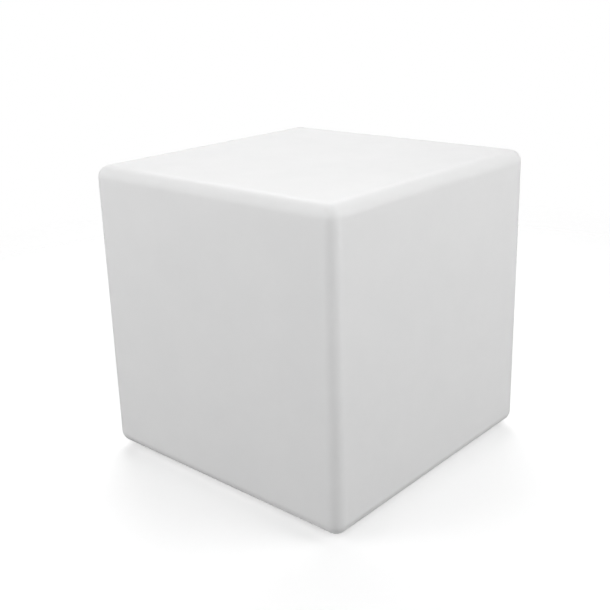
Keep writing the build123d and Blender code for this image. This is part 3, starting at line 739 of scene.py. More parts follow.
@dataclass(frozen=True)
class ClearPlastic:
    """Clear or lightly frosted polycarbonate, with faint flow marks.

    Args:
        name: Name of the material.
        colour: Tint.
        roughness: Roughness of the clear skin.
        frost: How much rougher the frosted patches are.
        clearness: Share of the light that passes.
        ior: Index of refraction.
        relief_depth: Depth of the skin's relief, in metres.
    """

    name: str
    colour: Colour
    roughness: float = 0.08
    frost: float = 0.1
    clearness: float = 0.92
    ior: float = 1.58
    relief_depth: float = 0.00003

    def material(self) -> bpy.types.Material:
        """Builds the material.

        Returns:
            The finish as a material of its own.
        """
        s = Surface(self.name)
        place = s.object_place()
        skin = s.effect(Effect.moulded_skin(), place, Peel_Scale=220.0, Peel_Depth=0.8,
                        Grain_Scale=3000.0, Grain_Depth=0.2, Mottle_Scale=45.0)
        tint = s.blend(skin["Mottle"], self.colour, tuple(0.97 * part for part in self.colour))
        rough = s.spread(skin["Mottle"], 0.0, 1.0, self.roughness, self.roughness + self.frost)
        s.feed(s.shader, Base_Color=tint, Roughness=rough, Transmission_Weight=self.clearness,
               IOR=self.ior)
        s.relief(skin["Height"], self.relief_depth)
        return s.material


@dataclass(frozen=True)
class CellSleeve:
    """Heat-shrunk sleeve of a round cell, with bare metal at both ends.

    Args:
        name: Name of the material.
        colour: Colour of the sleeve.
        half_length: Where the sleeve ends along X, from the middle.
        metal: Colour of the bare ends.
        wave: Depth of the waves in the sleeve's ends, in metres.
        fade: Width of the sleeve's edge, in metres.
        roughness: Least and greatest roughness.
        relief_depth: Depth of the skin's relief, in metres.
    """

    name: str
    colour: Colour
    half_length: float
    metal: Colour = (0.62, 0.61, 0.58)
    wave: float = 0.0004
    fade: float = 0.0002
    roughness: tuple[float, float] = (0.26, 0.38)
    relief_depth: float = 0.00005

    def material(self) -> bpy.types.Material:
        """Builds the material.

        Returns:
            The finish as a material of its own.
        """
        s = Surface(self.name)
        place = s.object_place()
        split = s.add("SeparateXYZ")
        s.tree.links.new(place, split.inputs[0])
        along = s.math("ABSOLUTE", split.outputs["X"])
        wave = s.noise(place, 240.0, 2.0)
        edge = s.math("ADD", along, s.math("MULTIPLY", wave, self.wave))
        bare = s.spread(edge, self.half_length, self.half_length + self.fade, 0.0, 1.0)
        skin = s.effect(Effect.moulded_skin(), place, Peel_Scale=350.0, Grain_Scale=3000.0,
                        Mottle_Scale=70.0)
        sleeve = s.blend(skin["Mottle"], self.colour, tuple(0.8 * part for part in self.colour))
        s.feed(s.shader, Base_Color=s.blend(bare, sleeve, self.metal),
               Roughness=s.spread(skin["Mottle"], 0.0, 1.0, *self.roughness), Metallic=bare)
        s.relief(skin["Height"], self.relief_depth)
        return s.material


@dataclass(frozen=True)
class LampPackage:
    """White lamp body with a yellow well of phosphor in its top.

    Args:
        name: Name of the material.
        top: Level of the lamps' top face.
        body: Colour of the body.
        phosphor: Colour of the well's floor.
        rim: Levels under the top face between which the phosphor begins.
        roughness: Least and greatest roughness.
        relief_depth: Depth of the skin's relief, in metres.
    """

    name: str
    top: float
    body: Colour = (0.86, 0.85, 0.80)
    phosphor: Colour = (0.85, 0.62, 0.10)
    rim: tuple[float, float] = (0.0003, 0.0002)
    roughness: tuple[float, float] = (0.35, 0.5)
    relief_depth: float = 0.00003

    def material(self) -> bpy.types.Material:
        """Builds the material.

        Returns:
            The finish as a material of its own.
        """
        s = Surface(self.name)
        place = s.object_place()
        split = s.add("SeparateXYZ")
        s.tree.links.new(place, split.inputs[0])
        below = s.spread(split.outputs["Z"], *(self.top - drop for drop in self.rim), 1.0, 0.0)
        flat = s.spread(s.facing_up(), 0.8, 0.9, 0.0, 1.0)
        skin = s.effect(Effect.moulded_skin(), place, Grain_Scale=6000.0, Mottle_Scale=300.0)
        body = s.blend(skin["Mottle"], self.body, tuple(0.93 * part for part in self.body))
        well = s.math("MULTIPLY", below, flat)
        s.feed(s.shader, Base_Color=s.blend(well, body, self.phosphor),
               Roughness=s.spread(skin["Mottle"], 0.0, 1.0, *self.roughness))
        s.relief(skin["Height"], self.relief_depth)
        return s.material


class FinishRack:
    """Every finish of the light, by the record's slot."""

    def __init__(self) -> None:
        """Builds the materials."""
        lamp_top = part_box("lamps")[1][2]
        sleeve_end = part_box("battery_cell_front")[1][0] - SLEEVE_CAP
        steel = BareMetal("stainless_screw", (0.60, 0.59, 0.57), (0.42, 0.41, 0.39))
        nickel = BareMetal("nickel_contact", (0.66, 0.63, 0.57), (0.48, 0.45, 0.38), 0.25)
        brass = BareMetal("brass_insert", (0.72, 0.52, 0.22), (0.45, 0.30, 0.12), 0.3)
        can = BareMetal("capacitor_can", (0.66, 0.66, 0.68), (0.52, 0.52, 0.54), 0.35)
        white_mask = CircuitLaminate("lamp_board_laminate", (0.82, 0.82, 0.81), (0.86, 0.86, 0.84))
        finishes = [
            Polyethylene(),
            MouldedPlastic("foot_rubber", (0.022, 0.022, 0.023), 0.25, 0.72, 0.00012, 0.25, 0.6),
            MouldedPlastic("housing_plastic", (0.68, 0.68, 0.665), 0.06, 0.50, 0.00014, 0.05),
            MouldedPlastic("button_silicone", (0.070, 0.072, 0.076), 0.12, 0.6, 0.00008, 0.1,
                           0.3, 0.15),
            MouldedPlastic("cover_silicone", (0.045, 0.046, 0.049), 0.12, 0.62, 0.00008, 0.1,
                           0.3, 0.15),
            MouldedPlastic("seal_silicone", (0.50, 0.085, 0.045), 0.15, 0.5),
            MouldedPlastic("gasket_rubber", (0.035, 0.035, 0.036), 0.3, 0.8, 0.00012),
            MouldedPlastic("button_print", (0.78, 0.78, 0.77), 0.06, 0.55, 0.00002, 0.05, 0.8),
            MouldedPlastic("mark_print", (0.085, 0.087, 0.090), 0.1, 0.55, 0.00002, 0.05, 0.6),
            MouldedPlastic("dark_plastic", (0.018, 0.018, 0.020), 0.2, 0.42),
            MouldedPlastic("connector_plastic", (0.74, 0.71, 0.60), 0.06, 0.45),
            MouldedPlastic("switch_plastic", (0.030, 0.030, 0.033), 0.15, 0.4),
            MouldedPlastic("plunger_plastic", (0.55, 0.50, 0.36), 0.1, 0.4),
            MouldedPlastic("coil_ferrite", (0.065, 0.065, 0.070), 0.3, 0.75, 0.0001),
            MouldedPlastic("tray_plastic", (0.075, 0.075, 0.080), 0.12, 0.5),
            MouldedPlastic("lead_red", (0.42, 0.022, 0.016), 0.12, 0.4),
            MouldedPlastic("lead_black", (0.015, 0.015, 0.016), 0.2, 0.4),
            MouldedPlastic("ribbon_grey", (0.27, 0.27, 0.29), 0.1, 0.45),
            steel, nickel, brass, can, white_mask,
            CircuitLaminate("board_laminate", (0.012, 0.085, 0.035), (0.030, 0.150, 0.060)),
            ClearPlastic("clear_plastic", (0.90, 0.94, 0.95)),
            ClearPlastic("lens_plastic", (0.93, 0.93, 0.93), 0.22, 0.2),
            CellSleeve("cell_sleeve", (0.035, 0.13, 0.30), sleeve_end),
            LampPackage("lamp_package", lamp_top),
        ]
        self.by_slot = {finish.name: finish.material() for finish in finishes}

    def __getitem__(self, slot: str) -> bpy.types.Material:
        """Returns the material of a slot."""
        return self.by_slot[slot]

    def dress_nodes(self) -> None:
        """Gives every CAD node the finish of its slot."""
        for entry in frame["record"]["subparts"]:
            node = frame["nodes"][entry["node"]]
            material = self[entry["material_slot"]]
            if not node.material_slots:
                node.data.materials.append(material)
            for holder in node.material_slots:
                holder.material = material


# ------------------------------------------------------------------ the moulded cube
@dataclass
class CubeMoulding:
    """The hollow moulding: rounded cube, well in its underside, seats of the feet and bosses.

    Args:
        rack: Finishes.
        base_width: Width of the cube at its underside.
        edge_radius: Rounding of all outer edges.
        wall: Thickness of the moulding.
        draft: Lean of the side walls.
        well_depth: Depth of the well.
        well_radius: Radius of the well at its floor.
        well_draft: Lean of the well's side.
        lip: Rounding of the well's mouth.
        corner: Rounding between the well's side and floor.
        opening: Radius of the opening for the light unit.
        seat_radius: Radius of a foot's seat.
        insert_radius: Radius of a foot's screw insert.
        base_insert_radius: Radius of a base screw's insert.
        insert_cover: Plastic round and over an insert.
        edge_flats: Flats across an edge's rounding.
        margin: Width of the strip that holds each flat face's shading level.
        mouth_flat: Width of the flat round the well's mouth, in units of the lip.
        seat_softness: Rounding of a seat's mouth.
        boss_root: Where a boss starts in the wall, as a share of the wall.
        boss_softness: Rounding of a boss's end.
        drop: Level of the underside.
        top: Level of the top.
        seat: Level of the feet's seats.
    """

    rack: FinishRack
    base_width: float = 400.0 * MM
    edge_radius: float = 16.0 * MM
    wall: float = 4.0 * MM
    draft: float = radians(0.3)
    well_depth: float = 16.0 * MM
    well_radius: float = 71.0 * MM
    well_draft: float = radians(6.0)
    lip: float = 3.0 * MM
    corner: float = 3.5 * MM
    opening: float = 46.5 * MM
    seat_radius: float = 15.5 * MM
    insert_radius: float = 4.6 * MM
    base_insert_radius: float = 4.1 * MM
    insert_cover: float = 4.0 * MM
    edge_flats: int = 14
    margin: float = 1.2 * MM
    mouth_flat: float = 1.6
    seat_softness: float = 0.4 * MM
    boss_root: float = 0.75
    boss_softness: float = 1.0 * MM
    drop: float = field(init=False)
    top: float = field(init=False)
    seat: float = field(init=False)

    def __post_init__(self) -> None:
        """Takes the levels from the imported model."""
        self.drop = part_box("cube_shell")[0][2]
        self.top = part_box("cube_shell")[1][2]
        self.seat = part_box("foot_screw_inserts")[0][2]

    def outer_box(self, bm: bmesh.types.BMesh) -> None:
        """Adds the rounded box, without the flat of its underside.

        Args:
            bm: Mesh of the moulding.
        """
        height = self.top - self.drop
        box = bmesh.ops.create_cube(bm, size=1.0)["verts"]
        bmesh.ops.scale(bm, verts=box, vec=(self.base_width, self.base_width, height))
        bmesh.ops.translate(bm, verts=box, vec=(0, 0, self.drop + height / 2))
        upper = [vert for vert in box if vert.co.z > self.drop + height / 2]
        lean = 1.0 - 2.0 * height * tan(self.draft) / self.base_width
        bmesh.ops.scale(bm, verts=upper, vec=(lean, lean, 1.0))
        bmesh.ops.bevel(
            bm, geom=bm.edges[:], offset=self.edge_radius, offset_type="OFFSET",
            segments=self.edge_flats, profile=0.5, affect="EDGES", material=-1,
            clamp_overlap=True,
        )
        flats = sorted(bm.faces, key=lambda face: -face.calc_area())[:6]
        bmesh.ops.inset_individual(bm, faces=flats, thickness=self.margin, use_even_offset=True)
        flats = sorted(bm.faces, key=lambda face: -face.calc_area())[:6]
        under = min(flats, key=lambda face: face.calc_center_median().z)
        bmesh.ops.delete(bm, geom=[under], context="FACES_ONLY")

    def well(self, bm: bmesh.types.BMesh) -> None:
        """Adds the well, from its mouth in the underside to the edge of the opening.

        Args:
            bm: Mesh of the moulding.
        """
        floor = self.drop + self.well_depth
        mouth = self.well_radius + self.well_depth * tan(self.well_draft)
        turn_outline(bm, [
            Corner(mouth + self.mouth_flat * self.lip, self.drop),
            Corner(mouth, self.drop, self.lip),
            Corner(self.well_radius, floor, self.corner),
            Corner(self.opening, floor),
        ], steps=96)

    def foot_seats(self, bm: bmesh.types.BMesh) -> None:
        """Adds the four shallow seats, each open in the middle for its insert.

        Args:
            bm: Mesh of the moulding.
        """
        soft = self.seat_softness
        for place in foot_places():
            turn_outline(bm, [
                Corner(self.seat_radius + 2 * soft, self.drop),
                Corner(self.seat_radius, self.drop, soft),
                Corner(self.seat_radius, self.seat, soft / 2),
                Corner(self.insert_radius, self.seat),
            ], place, steps=40)

    def underside(self, bm: bmesh.types.BMesh) -> None:
        """Closes the flat underside between the box's edge, the well and the seats.

        Args:
            bm: Mesh of the moulding.
        """
        rims = [
            edge for edge in bm.edges
            if edge.is_boundary
            and all(abs(vert.co.z - self.drop) < SAME_LEVEL for vert in edge.verts)
        ]
        bmesh.ops.triangle_fill(bm, edges=rims, use_beauty=True)

    def bosses(self) -> bpy.types.Object:
        """Makes the bosses that stand up inside the cube round the screw inserts.

        Returns:
            The bosses as one piece.
        """
        bm = bmesh.new()
        sets = (
            (foot_places(), self.insert_radius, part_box("foot_screw_inserts")),
            (base_screw_places(), self.base_insert_radius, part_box("base_screw_inserts")),
        )
        for places, inner, (low, high) in sets:
            outer = inner + self.insert_cover
            foot = low[2] + self.boss_root * self.wall
            for place in places:
                turn_outline(bm, [
                    Corner(0.0, high[2]),
                    Corner(inner, high[2]),
                    Corner(inner, foot),
                    Corner(outer, foot),
                    Corner(outer, high[2] + self.insert_cover, self.boss_softness),
                    Corner(0.0, high[2] + self.insert_cover),
                ], place, steps=24)
        return finish_piece(bm, "insert_bosses", self.rack["shell_polyethylene"])

    def build(self) -> None:
        """Makes the moulding and its bosses and fixes them to the cube."""
        bm = bmesh.new()
        self.outer_box(bm)
        self.well(bm)
        self.foot_seats(bm)
        self.underside(bm)
        bmesh.ops.recalc_face_normals(bm, faces=bm.faces[:])
        crown = max(bm.faces, key=lambda face: face.calc_center_median().z)
        if crown.normal.z < 0:
            bmesh.ops.reverse_faces(bm, faces=bm.faces[:])
        shell = finish_piece(bm, "moulded_cube", self.rack["shell_polyethylene"], turn_out=False)
        wall = shell.modifiers.new("wall", "SOLIDIFY")
        wall.thickness = self.wall
        wall.offset = -1.0
        wall.use_even_offset = True
        hold(shell, "cube", "shell_polyethylene", "cube_shell")
        hold(self.bosses(), "cube", "shell_polyethylene")


def foot_places() -> list[Place]:
    """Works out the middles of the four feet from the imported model's screws.

    Returns:
        The four places.
    """
    low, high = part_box("foot_screws")
    half = (high[0] - low[0]) / 2 - FOOT_SCREW_HEAD
    reach = round(half / MM) * MM
    return [(x * reach, y * reach) for x in (-1, 1) for y in (-1, 1)]


def base_screw_places() -> list[Place]:
    """Works out the middles of the six base screws, on their ring.

    Returns:
        The six places.
    """
    turns = [radians(turn) for turn in range(30, 390, 60)]
    return [(BASE_SCREW_RING * cos(turn), BASE_SCREW_RING * sin(turn)) for turn in turns]


# ------------------------------------------------------------------ feet and screws
@dataclass
class RubberFeet:
    """Four tapered rubber buffers with a sunk hole for the screw head.

    Args:
        rack: Finishes.
        top_radius: Radius where the foot meets its seat.
        bottom_radius: Radius at the ground, before its rounding.
        bore: Radius round the screw's shank.
        recess: Radius round the screw's head.
        recess_depth: Depth of that recess.
        recess_softness: Rounding of the recess's mouth and of its foot.
        bore_softness: Rounding of the bore's ends.
        seat_softness: Rounding where the foot meets its seat.
        sole_rounding: Rounding of the sole's outer edge.
        grooves: Radii of the grip grooves, from the outside in.
        groove_depth: Depth of a groove.
        groove_mouth: Half the width of a groove at the sole.
        groove_floor: Half the width of a groove's floor.
        groove_softness: Rounding of a groove's edges.
    """

    rack: FinishRack
    top_radius: float = 15.0 * MM
    bottom_radius: float = 13.735 * MM
    bore: float = 2.8 * MM
    recess: float = 6.0 * MM
    recess_depth: float = 5.0 * MM
    recess_softness: tuple[float, float] = (0.35 * MM, 0.2 * MM)
    bore_softness: float = 0.1 * MM
    seat_softness: float = 0.4 * MM
    sole_rounding: float = 1.3 * MM
    grooves: tuple[float, ...] = (11.4 * MM, 9.7 * MM, 8.0 * MM)
    groove_depth: float = 0.5 * MM
    groove_mouth: float = 0.35 * MM
    groove_floor: float = 0.2 * MM
    groove_softness: float = 0.08 * MM

    def build(self) -> None:
        """Makes the feet, with three fine grip grooves in each sole."""
        bm = bmesh.new()
        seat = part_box("rubber_feet")[1][2]
        outline = [
            Corner(self.bore, seat, self.bore_softness),
            Corner(self.top_radius, seat, self.seat_softness),
            Corner(self.bottom_radius, 0.0, self.sole_rounding),
        ]
        for groove in self.grooves:
            outline += [
                Corner(groove + self.groove_mouth, 0.0, self.groove_softness),
                Corner(groove + self.groove_floor, self.groove_depth, self.groove_softness),
                Corner(groove - self.groove_floor, self.groove_depth, self.groove_softness),
                Corner(groove - self.groove_mouth, 0.0, self.groove_softness),
            ]
        outline += [
            Corner(self.recess, 0.0, self.recess_softness[0]),
            Corner(self.recess, self.recess_depth, self.recess_softness[1]),
            Corner(self.bore, self.recess_depth, self.bore_softness),
        ]
        for place in foot_places():
            turn_outline(bm, outline, place, steps=56, closed=True)
        feet = finish_piece(bm, "grooved_feet", self.rack["foot_rubber"])
        hold(feet, "cube", "foot_rubber", "rubber_feet")


@dataclass
class CrossHeadScrews:
    """A set of pan-head screws with cross recesses, heads down.

    Args:
        rack: Finishes.
        name: Name of the piece.
        node: CAD node that they stand for.
        places: Middles of the screws.
        head_radius: Radius of a head.
        head_height: Height of a head.
        shank_radius: Radius of a shank.
        face_share: Where the cross's ground starts, as a share of the head's radius.
        arm_share: Reach of the cross's arms, as a share of the head's radius.
        slot_share: Half the width of an arm, as a share of the head's radius.
        sink_share: Depth of the cross, as a share of the head's height.
        floor_share: Size of the cross's floor, as a share of its mouth.
        brim_share: Rounding of the head's upper edge, as a share of its height.
        dome_share: Height and rounding of the head's dome, as shares of its height.
        tip_share: Radius of a shank's tip and length of its chamfer, as shares of its radius.
    """

    rack: FinishRack
    name: str
    node: str
    places: list[Place]
    head_radius: float
    head_height: float
    shank_radius: float
    face_share: float = 0.62
    arm_share: float = 0.50
    slot_share: float = 0.15
    sink_share: float = 0.60
    floor_share: float = 0.42
    brim_share: float = 0.08
    dome_share: tuple[float, float] = (0.25, 0.3)
    tip_share: tuple[float, float] = (0.7, 0.5)

    def cross_recess(self, bm: bmesh.types.BMesh, rim: list, place: Place, level: float) -> None:
        """Closes a head's face round a cross and sinks the cross.

        Args:
            bm: Mesh of the screws.
            rim: Edges round the open middle of the head's face.
            place: Middle of the screw.
            level: Level of the face.
        """
        arm = self.arm_share * self.head_radius
        half = self.slot_share * self.head_radius
        quarter = [(arm, -half), (arm, half), (half, half)]
        cross = []
        for turn in range(4):
            spin = Matrix.Rotation(turn * pi / 2, 2)
            cross += [spin @ Vector(point) for point in quarter]
        points = [bm.verts.new((place[0] + p.x, place[1] + p.y, level)) for p in cross]
        edges = [bm.edges.new(pair) for pair in zip(points, points[1:] + points[:1])]
        bmesh.ops.triangle_fill(bm, edges=rim + edges, use_beauty=True)
        middle = Vector((*place, level))
        inside = [
            face for face in bm.faces if all(vert in points for vert in face.verts)
            and min(map(abs, (face.calc_center_median() - middle).xy)) < half
        ]
        if inside:
            bmesh.ops.delete(bm, geom=inside, context="FACES_ONLY")
        sunk = bmesh.ops.extrude_edge_only(bm, edges=edges)["geom"]
        lower = [item for item in sunk if isinstance(item, bmesh.types.BMVert)]
        bmesh.ops.translate(bm, verts=lower, vec=(0, 0, self.sink_share * self.head_height))
        bmesh.ops.scale(bm, verts=lower, vec=(self.floor_share, self.floor_share, 1.0),
                        space=Matrix.Translation(-middle))
        bmesh.ops.contextual_create(bm, geom=[
            item for item in sunk
            if isinstance(item, bmesh.types.BMEdge) and all(vert in lower for vert in item.verts)
        ])

    def build(self) -> None:
        """Makes the screws and fixes them to the cube."""
        bm = bmesh.new()
        low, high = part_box(self.node)
        face = low[2]
        seat = face + self.head_height
        dome, rounding = (share * self.head_height for share in self.dome_share)
        tip, chamfer = (share * self.shank_radius for share in self.tip_share)
        for place in self.places:
            known = set(bm.edges)
            turn_outline(bm, [
                Corner(0.0, high[2]),
                Corner(tip, high[2]),
                Corner(self.shank_radius, high[2] - chamfer),
                Corner(self.shank_radius, seat),
                Corner(self.head_radius, seat, self.brim_share * self.head_height),
                Corner(self.head_radius, face + dome, rounding),
                Corner(self.face_share * self.head_radius, face),
            ], place, steps=40)
            rim = [edge for edge in bm.edges if edge not in known and edge.is_boundary]
            self.cross_recess(bm, rim, place, face)
        screws = finish_piece(bm, self.name, self.rack["stainless_screw"])
        hold(screws, "cube", "stainless_screw", self.node)


# ------------------------------------------------------------------ push buttons
class Mark(Enum):
    """What is printed on a button."""

    POWER = "power"
    COLOUR = "colour"


@dataclass
class PushButton:
    """A silicone cap with a dished face and a printed mark.

    Args:
        rack: Finishes.
        mark: What the button does.
        place: Middle of the button.
        radius: Radius of the cap.
        dish: Depth of the dished face.
        dish_shares: Where the dish turns, as shares of the radius and of its depth.
        dish_rounding: Rounding of the dish there.
        rim: Width and height of the slope round the face.
        rim_softness: Rounding of that slope's edges.
        groove_depth: Depth of the groove for the sealing ring.
        groove_room: Room over and under the ring.
        lip_rise: Height of the lip over the flange.
        lip_height: Thickness of the lip.
        lip_reach: How far the lip stands out.
        lip_softness: Rounding of the lip's edges.
        stem_radius: Radius of the stem that meets the switch.
        print_drop: Level of the print over the lowest point of the face.
        print_softness: Rounding of the print's edges.
        ring_radius: Middle radius of the power mark's broken ring.
        ring_gap: Half the angle of the ring's gap.
        stroke: Half the width of the power mark's strokes.
        bar: Where the power mark's bar starts and ends.
        dot_ring: Distance of the colour mark's dots from the middle.
        dot_radius: Radius of a dot.
    """

    rack: FinishRack
    mark: Mark
    place: Place
    radius: float = 6.5 * MM
    dish: float = 0.35 * MM
    dish_shares: tuple[float, float] = (0.45, 0.75)
    dish_rounding: float = 1.5 * MM
    rim: tuple[float, float] = (1.1 * MM, 0.9 * MM)
    rim_softness: float = 0.5 * MM
    groove_depth: float = 1.26 * MM
    groove_room: float = 0.08 * MM
    lip_rise: float = 0.1 * MM
    lip_height: float = 1.2 * MM
    lip_reach: float = 1.7 * MM
    lip_softness: float = 0.3 * MM
    stem_radius: float = 2.5 * MM
    print_drop: float = 0.1 * MM
    print_softness: float = 0.08 * MM
    ring_radius: float = 2.1 * MM
    ring_gap: float = radians(35.0)
    stroke: float = 0.26 * MM
    bar: tuple[float, float] = (0.9 * MM, 2.9 * MM)
    dot_ring: float = 1.7 * MM
    dot_radius: float = 0.75 * MM

    def cap(self) -> bpy.types.Object:
        """Makes the cap, with the groove for its sealing ring and the lip that keeps it in.

        Returns:
            The cap.
        """
        low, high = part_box(f"{self.mark.value}_button")
        ring_low, ring_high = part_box(f"{self.mark.value}_button_ring")
        face, stem_top = low[2], high[2]
        flange_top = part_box("flange_gasket")[0][2]
        lip_low = flange_top + self.lip_rise
        lip_high = lip_low + self.lip_height
        lip_edge = self.radius + self.lip_reach
        groove = self.radius - self.groove_depth
        across, down = self.dish_shares
        bm = bmesh.new()
        turn_outline(bm, [
            Corner(0.0, face + self.dish),
            Corner(across * self.radius, face + down * self.dish, self.dish_rounding),
            Corner(self.radius - self.rim[0], face, self.rim_softness),
            Corner(self.radius, face + self.rim[1], self.rim_softness),
            Corner(self.radius, ring_low[2] - self.groove_room),
            Corner(groove, ring_low[2] - self.groove_room),
            Corner(groove, ring_high[2] + self.groove_room),
            Corner(self.radius, ring_high[2] + self.groove_room),
            Corner(self.radius, lip_low),
            Corner(lip_edge, lip_low, self.lip_softness),
            Corner(lip_edge, lip_high, self.lip_softness),
            Corner(self.stem_radius, lip_high),
            Corner(self.stem_radius, stem_top),
            Corner(0.0, stem_top),
        ], self.place, steps=56)
        return finish_piece(bm, f"{self.mark.value}_cap", self.rack["button_silicone"])

    def power_mark(self, bm: bmesh.types.BMesh, base: float, front: float) -> None:
        """Draws a broken ring with a bar in its gap, about the middle.

        Args:
            bm: Mesh of the print.
            base: Level of the print's back.
            front: Level of the print's face.
        """
        inner, outer = self.ring_radius - self.stroke, self.ring_radius + self.stroke
        outline = draw_outline(bm, [
            Corner(inner, base), Corner(outer, base), Corner(outer, front), Corner(inner, front),
        ], closed=True)
        edges = [item for item in outline if isinstance(item, bmesh.types.BMEdge)]
        end = bmesh.ops.contextual_create(bm, geom=edges)["faces"]
        bmesh.ops.rotate(bm, verts=bm.verts[:], cent=(0, 0, 0),
                         matrix=Matrix.Rotation(pi / 2 + self.ring_gap, 3, "Z"))
        bmesh.ops.spin(
            bm, geom=end + list(end[0].edges) + list(end[0].verts), cent=(0, 0, 0),
            axis=(0, 0, 1), dvec=(0, 0, 0), angle=2 * (pi - self.ring_gap), steps=36,
            use_merge=False,
        )
        add_block(bm, Vector((-self.stroke, self.bar[0], front)),
                  Vector((self.stroke, self.bar[1], base)), self.print_softness, 2)

    def colour_mark(self, bm: bmesh.types.BMesh, base: float, front: float) -> None:
        """Draws three dots round the middle.

        Args:
            bm: Mesh of the print.
            base: Level of the print's back.
            front: Level of the print's face.
        """
        for turn in range(3):
            spin = Matrix.Rotation(turn * 2 * pi / 3 + pi / 2, 2)
            spot = spin @ Vector((self.dot_ring, 0.0))
            turn_outline(bm, [
                Corner(0.0, base),
                Corner(self.dot_radius, base),
                Corner(self.dot_radius, front, self.print_softness),
                Corner(0.0, front),
            ], (spot.x, spot.y), steps=24)

    def print_mark(self) -> bpy.types.Object:
        """Makes the raised print of the button's mark.

        Returns:
            The print.
        """
        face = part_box(f"{self.mark.value}_button")[0][2]
        base = face + self.dish
        front = face + self.print_drop
        bm = bmesh.new()
        if self.mark is Mark.POWER:
            self.power_mark(bm, base, front)
        else:
            self.colour_mark(bm, base, front)
        bmesh.ops.translate(bm, verts=bm.verts[:], vec=(*self.place, 0.0))
        return finish_piece(bm, f"{self.mark.value}_print", self.rack["button_print"])

    def build(self) -> None:
        """Makes the cap and its print and fixes both to the button's body."""
        body = f"{self.mark.value}_button"
        hold(self.cap(), body, "button_silicone", body)
        hold(self.print_mark(), body, "connector_plastic")


# ------------------------------------------------------------------ cover of the charging socket
@dataclass
class ChargingCover:
    """The silicone cover that swings off the charging socket.

    Args:
        rack: Finishes.
        socket_place: Middle of the socket.
        radius: Radius of the cover.
        low: Level of the cover's face.
        top: Level of the cover's back, which lies in its pocket.
        dish: Depth of the dished face at its middle.
        dish_share: Where the dish turns down, as a share of the radius.
        dish_depth: Depth of the dish there.
        dish_rounding: Rounding of the dish there.
        rim: Width and height of the slope round the face.
        rim_softness: Rounding of that slope's inner and outer edge.
        back_softness: Rounding of the back's edge.
        stub_radii: Radii of the stub at its foot, at its end and inside.
        stub_length: Length of the stub.
        stub_softness: Rounding of the stub at its foot, at its end and inside.
        hinge_y: Where the strap bends.
        hinge_level: Level of that line.
        strap_width: Width of the strap.
        strap_thickness: Thickness of the strap.
        strap_share: Where the strap ends under the disc, as a share of the radius.
        strap_rounding: Rounding of the strap's edges.
        grip_reach: Distance of the grip from the cover's middle.
        grip_spacing: Half the distance between the grip's two ribs.
        grip_half: Half the length and half the thickness of a rib.
        grip_levels: Lowest level of the ribs and their depth in the cover.
        grip_rounding: Rounding of the ribs' edges.
    """

    rack: FinishRack
    socket_place: Place = (0.0, -14.0 * MM)
    radius: float = 9.0 * MM
    low: float = 17.2 * MM
    top: float = 19.4 * MM
    dish: float = 0.25 * MM
    dish_share: float = 0.55
    dish_depth: float = 0.1 * MM
    dish_rounding: float = 2.0 * MM
    rim: tuple[float, float] = (1.2 * MM, 0.9 * MM)
    rim_softness: tuple[float, float] = (0.5 * MM, 0.6 * MM)
    back_softness: float = 0.15 * MM
    stub_radii: tuple[float, float, float] = (2.9 * MM, 2.5 * MM, 1.8 * MM)
    stub_length: float = 2.4 * MM
    stub_softness: tuple[float, float, float] = (0.1 * MM, 0.25 * MM, 0.2 * MM)
    hinge_y: float = -27.0 * MM
    hinge_level: float = 18.8 * MM
    strap_width: float = 7.0 * MM
    strap_thickness: float = 1.0 * MM
    strap_share: float = 0.6
    strap_rounding: float = 0.42 * MM
    grip_reach: float = 5.0 * MM
    grip_spacing: float = 0.35 * MM
    grip_half: tuple[float, float] = (4.0 * MM, 0.28 * MM)
    grip_levels: tuple[float, float] = (16.4 * MM, 0.5 * MM)
    grip_rounding: float = 0.2 * MM

    def disc(self, bm: bmesh.types.BMesh) -> None:
        """Adds the dished disc with the hollow stub that fits into the socket.

        Args:
            bm: Mesh of the cover.
        """
        foot, end, inside = self.stub_radii
        tip = self.top + self.stub_length
        turn_outline(bm, [
            Corner(0.0, self.low + self.dish),
            Corner(self.dish_share * self.radius, self.low + self.dish_depth, self.dish_rounding),
            Corner(self.radius - self.rim[0], self.low, self.rim_softness[0]),
            Corner(self.radius, self.low + self.rim[1], self.rim_softness[1]),
            Corner(self.radius, self.top, self.back_softness),
            Corner(foot, self.top, self.stub_softness[0]),
            Corner(end, tip, self.stub_softness[1]),
            Corner(inside, tip, self.stub_softness[2]),
            Corner(inside, self.top),
            Corner(0.0, self.top),
        ], self.socket_place, steps=64)

    def strap(self, bm: bmesh.types.BMesh) -> None:
        """Adds the strap, from the line that it bends about to under the disc.

        Args:
            bm: Mesh of the cover.
        """
        half, thin = self.strap_width / 2, self.strap_thickness / 2
        near = self.socket_place[1] - self.strap_share * self.radius
        add_block(bm, Vector((-half, self.hinge_y - thin, self.hinge_level - thin)),
                  Vector((half, near, self.hinge_level + thin)), self.strap_rounding, 4)

    def grip(self, bm: bmesh.types.BMesh) -> None:
        """Adds the two ribs that a fingernail lifts the cover by.

        Args:
            bm: Mesh of the cover.
        """
        middle = self.socket_place[1] + self.grip_reach
        half, thin = self.grip_half
        lowest, depth = self.grip_levels
        for y in (middle - self.grip_spacing, middle + self.grip_spacing):
            add_block(bm, Vector((-half, y - thin, lowest)),
                      Vector((half, y + thin, self.low + depth)), self.grip_rounding, 3)

    def build(self) -> None:
        """Makes the cover with its stub, strap and grip and fixes it to its body."""
        bm = bmesh.new()
        self.disc(bm)
        self.strap(bm)
        self.grip(bm)
        cover = finish_piece(bm, "socket_cover", self.rack["cover_silicone"])
        hold(cover, "charging_cover", "cover_silicone", "charging_cover")


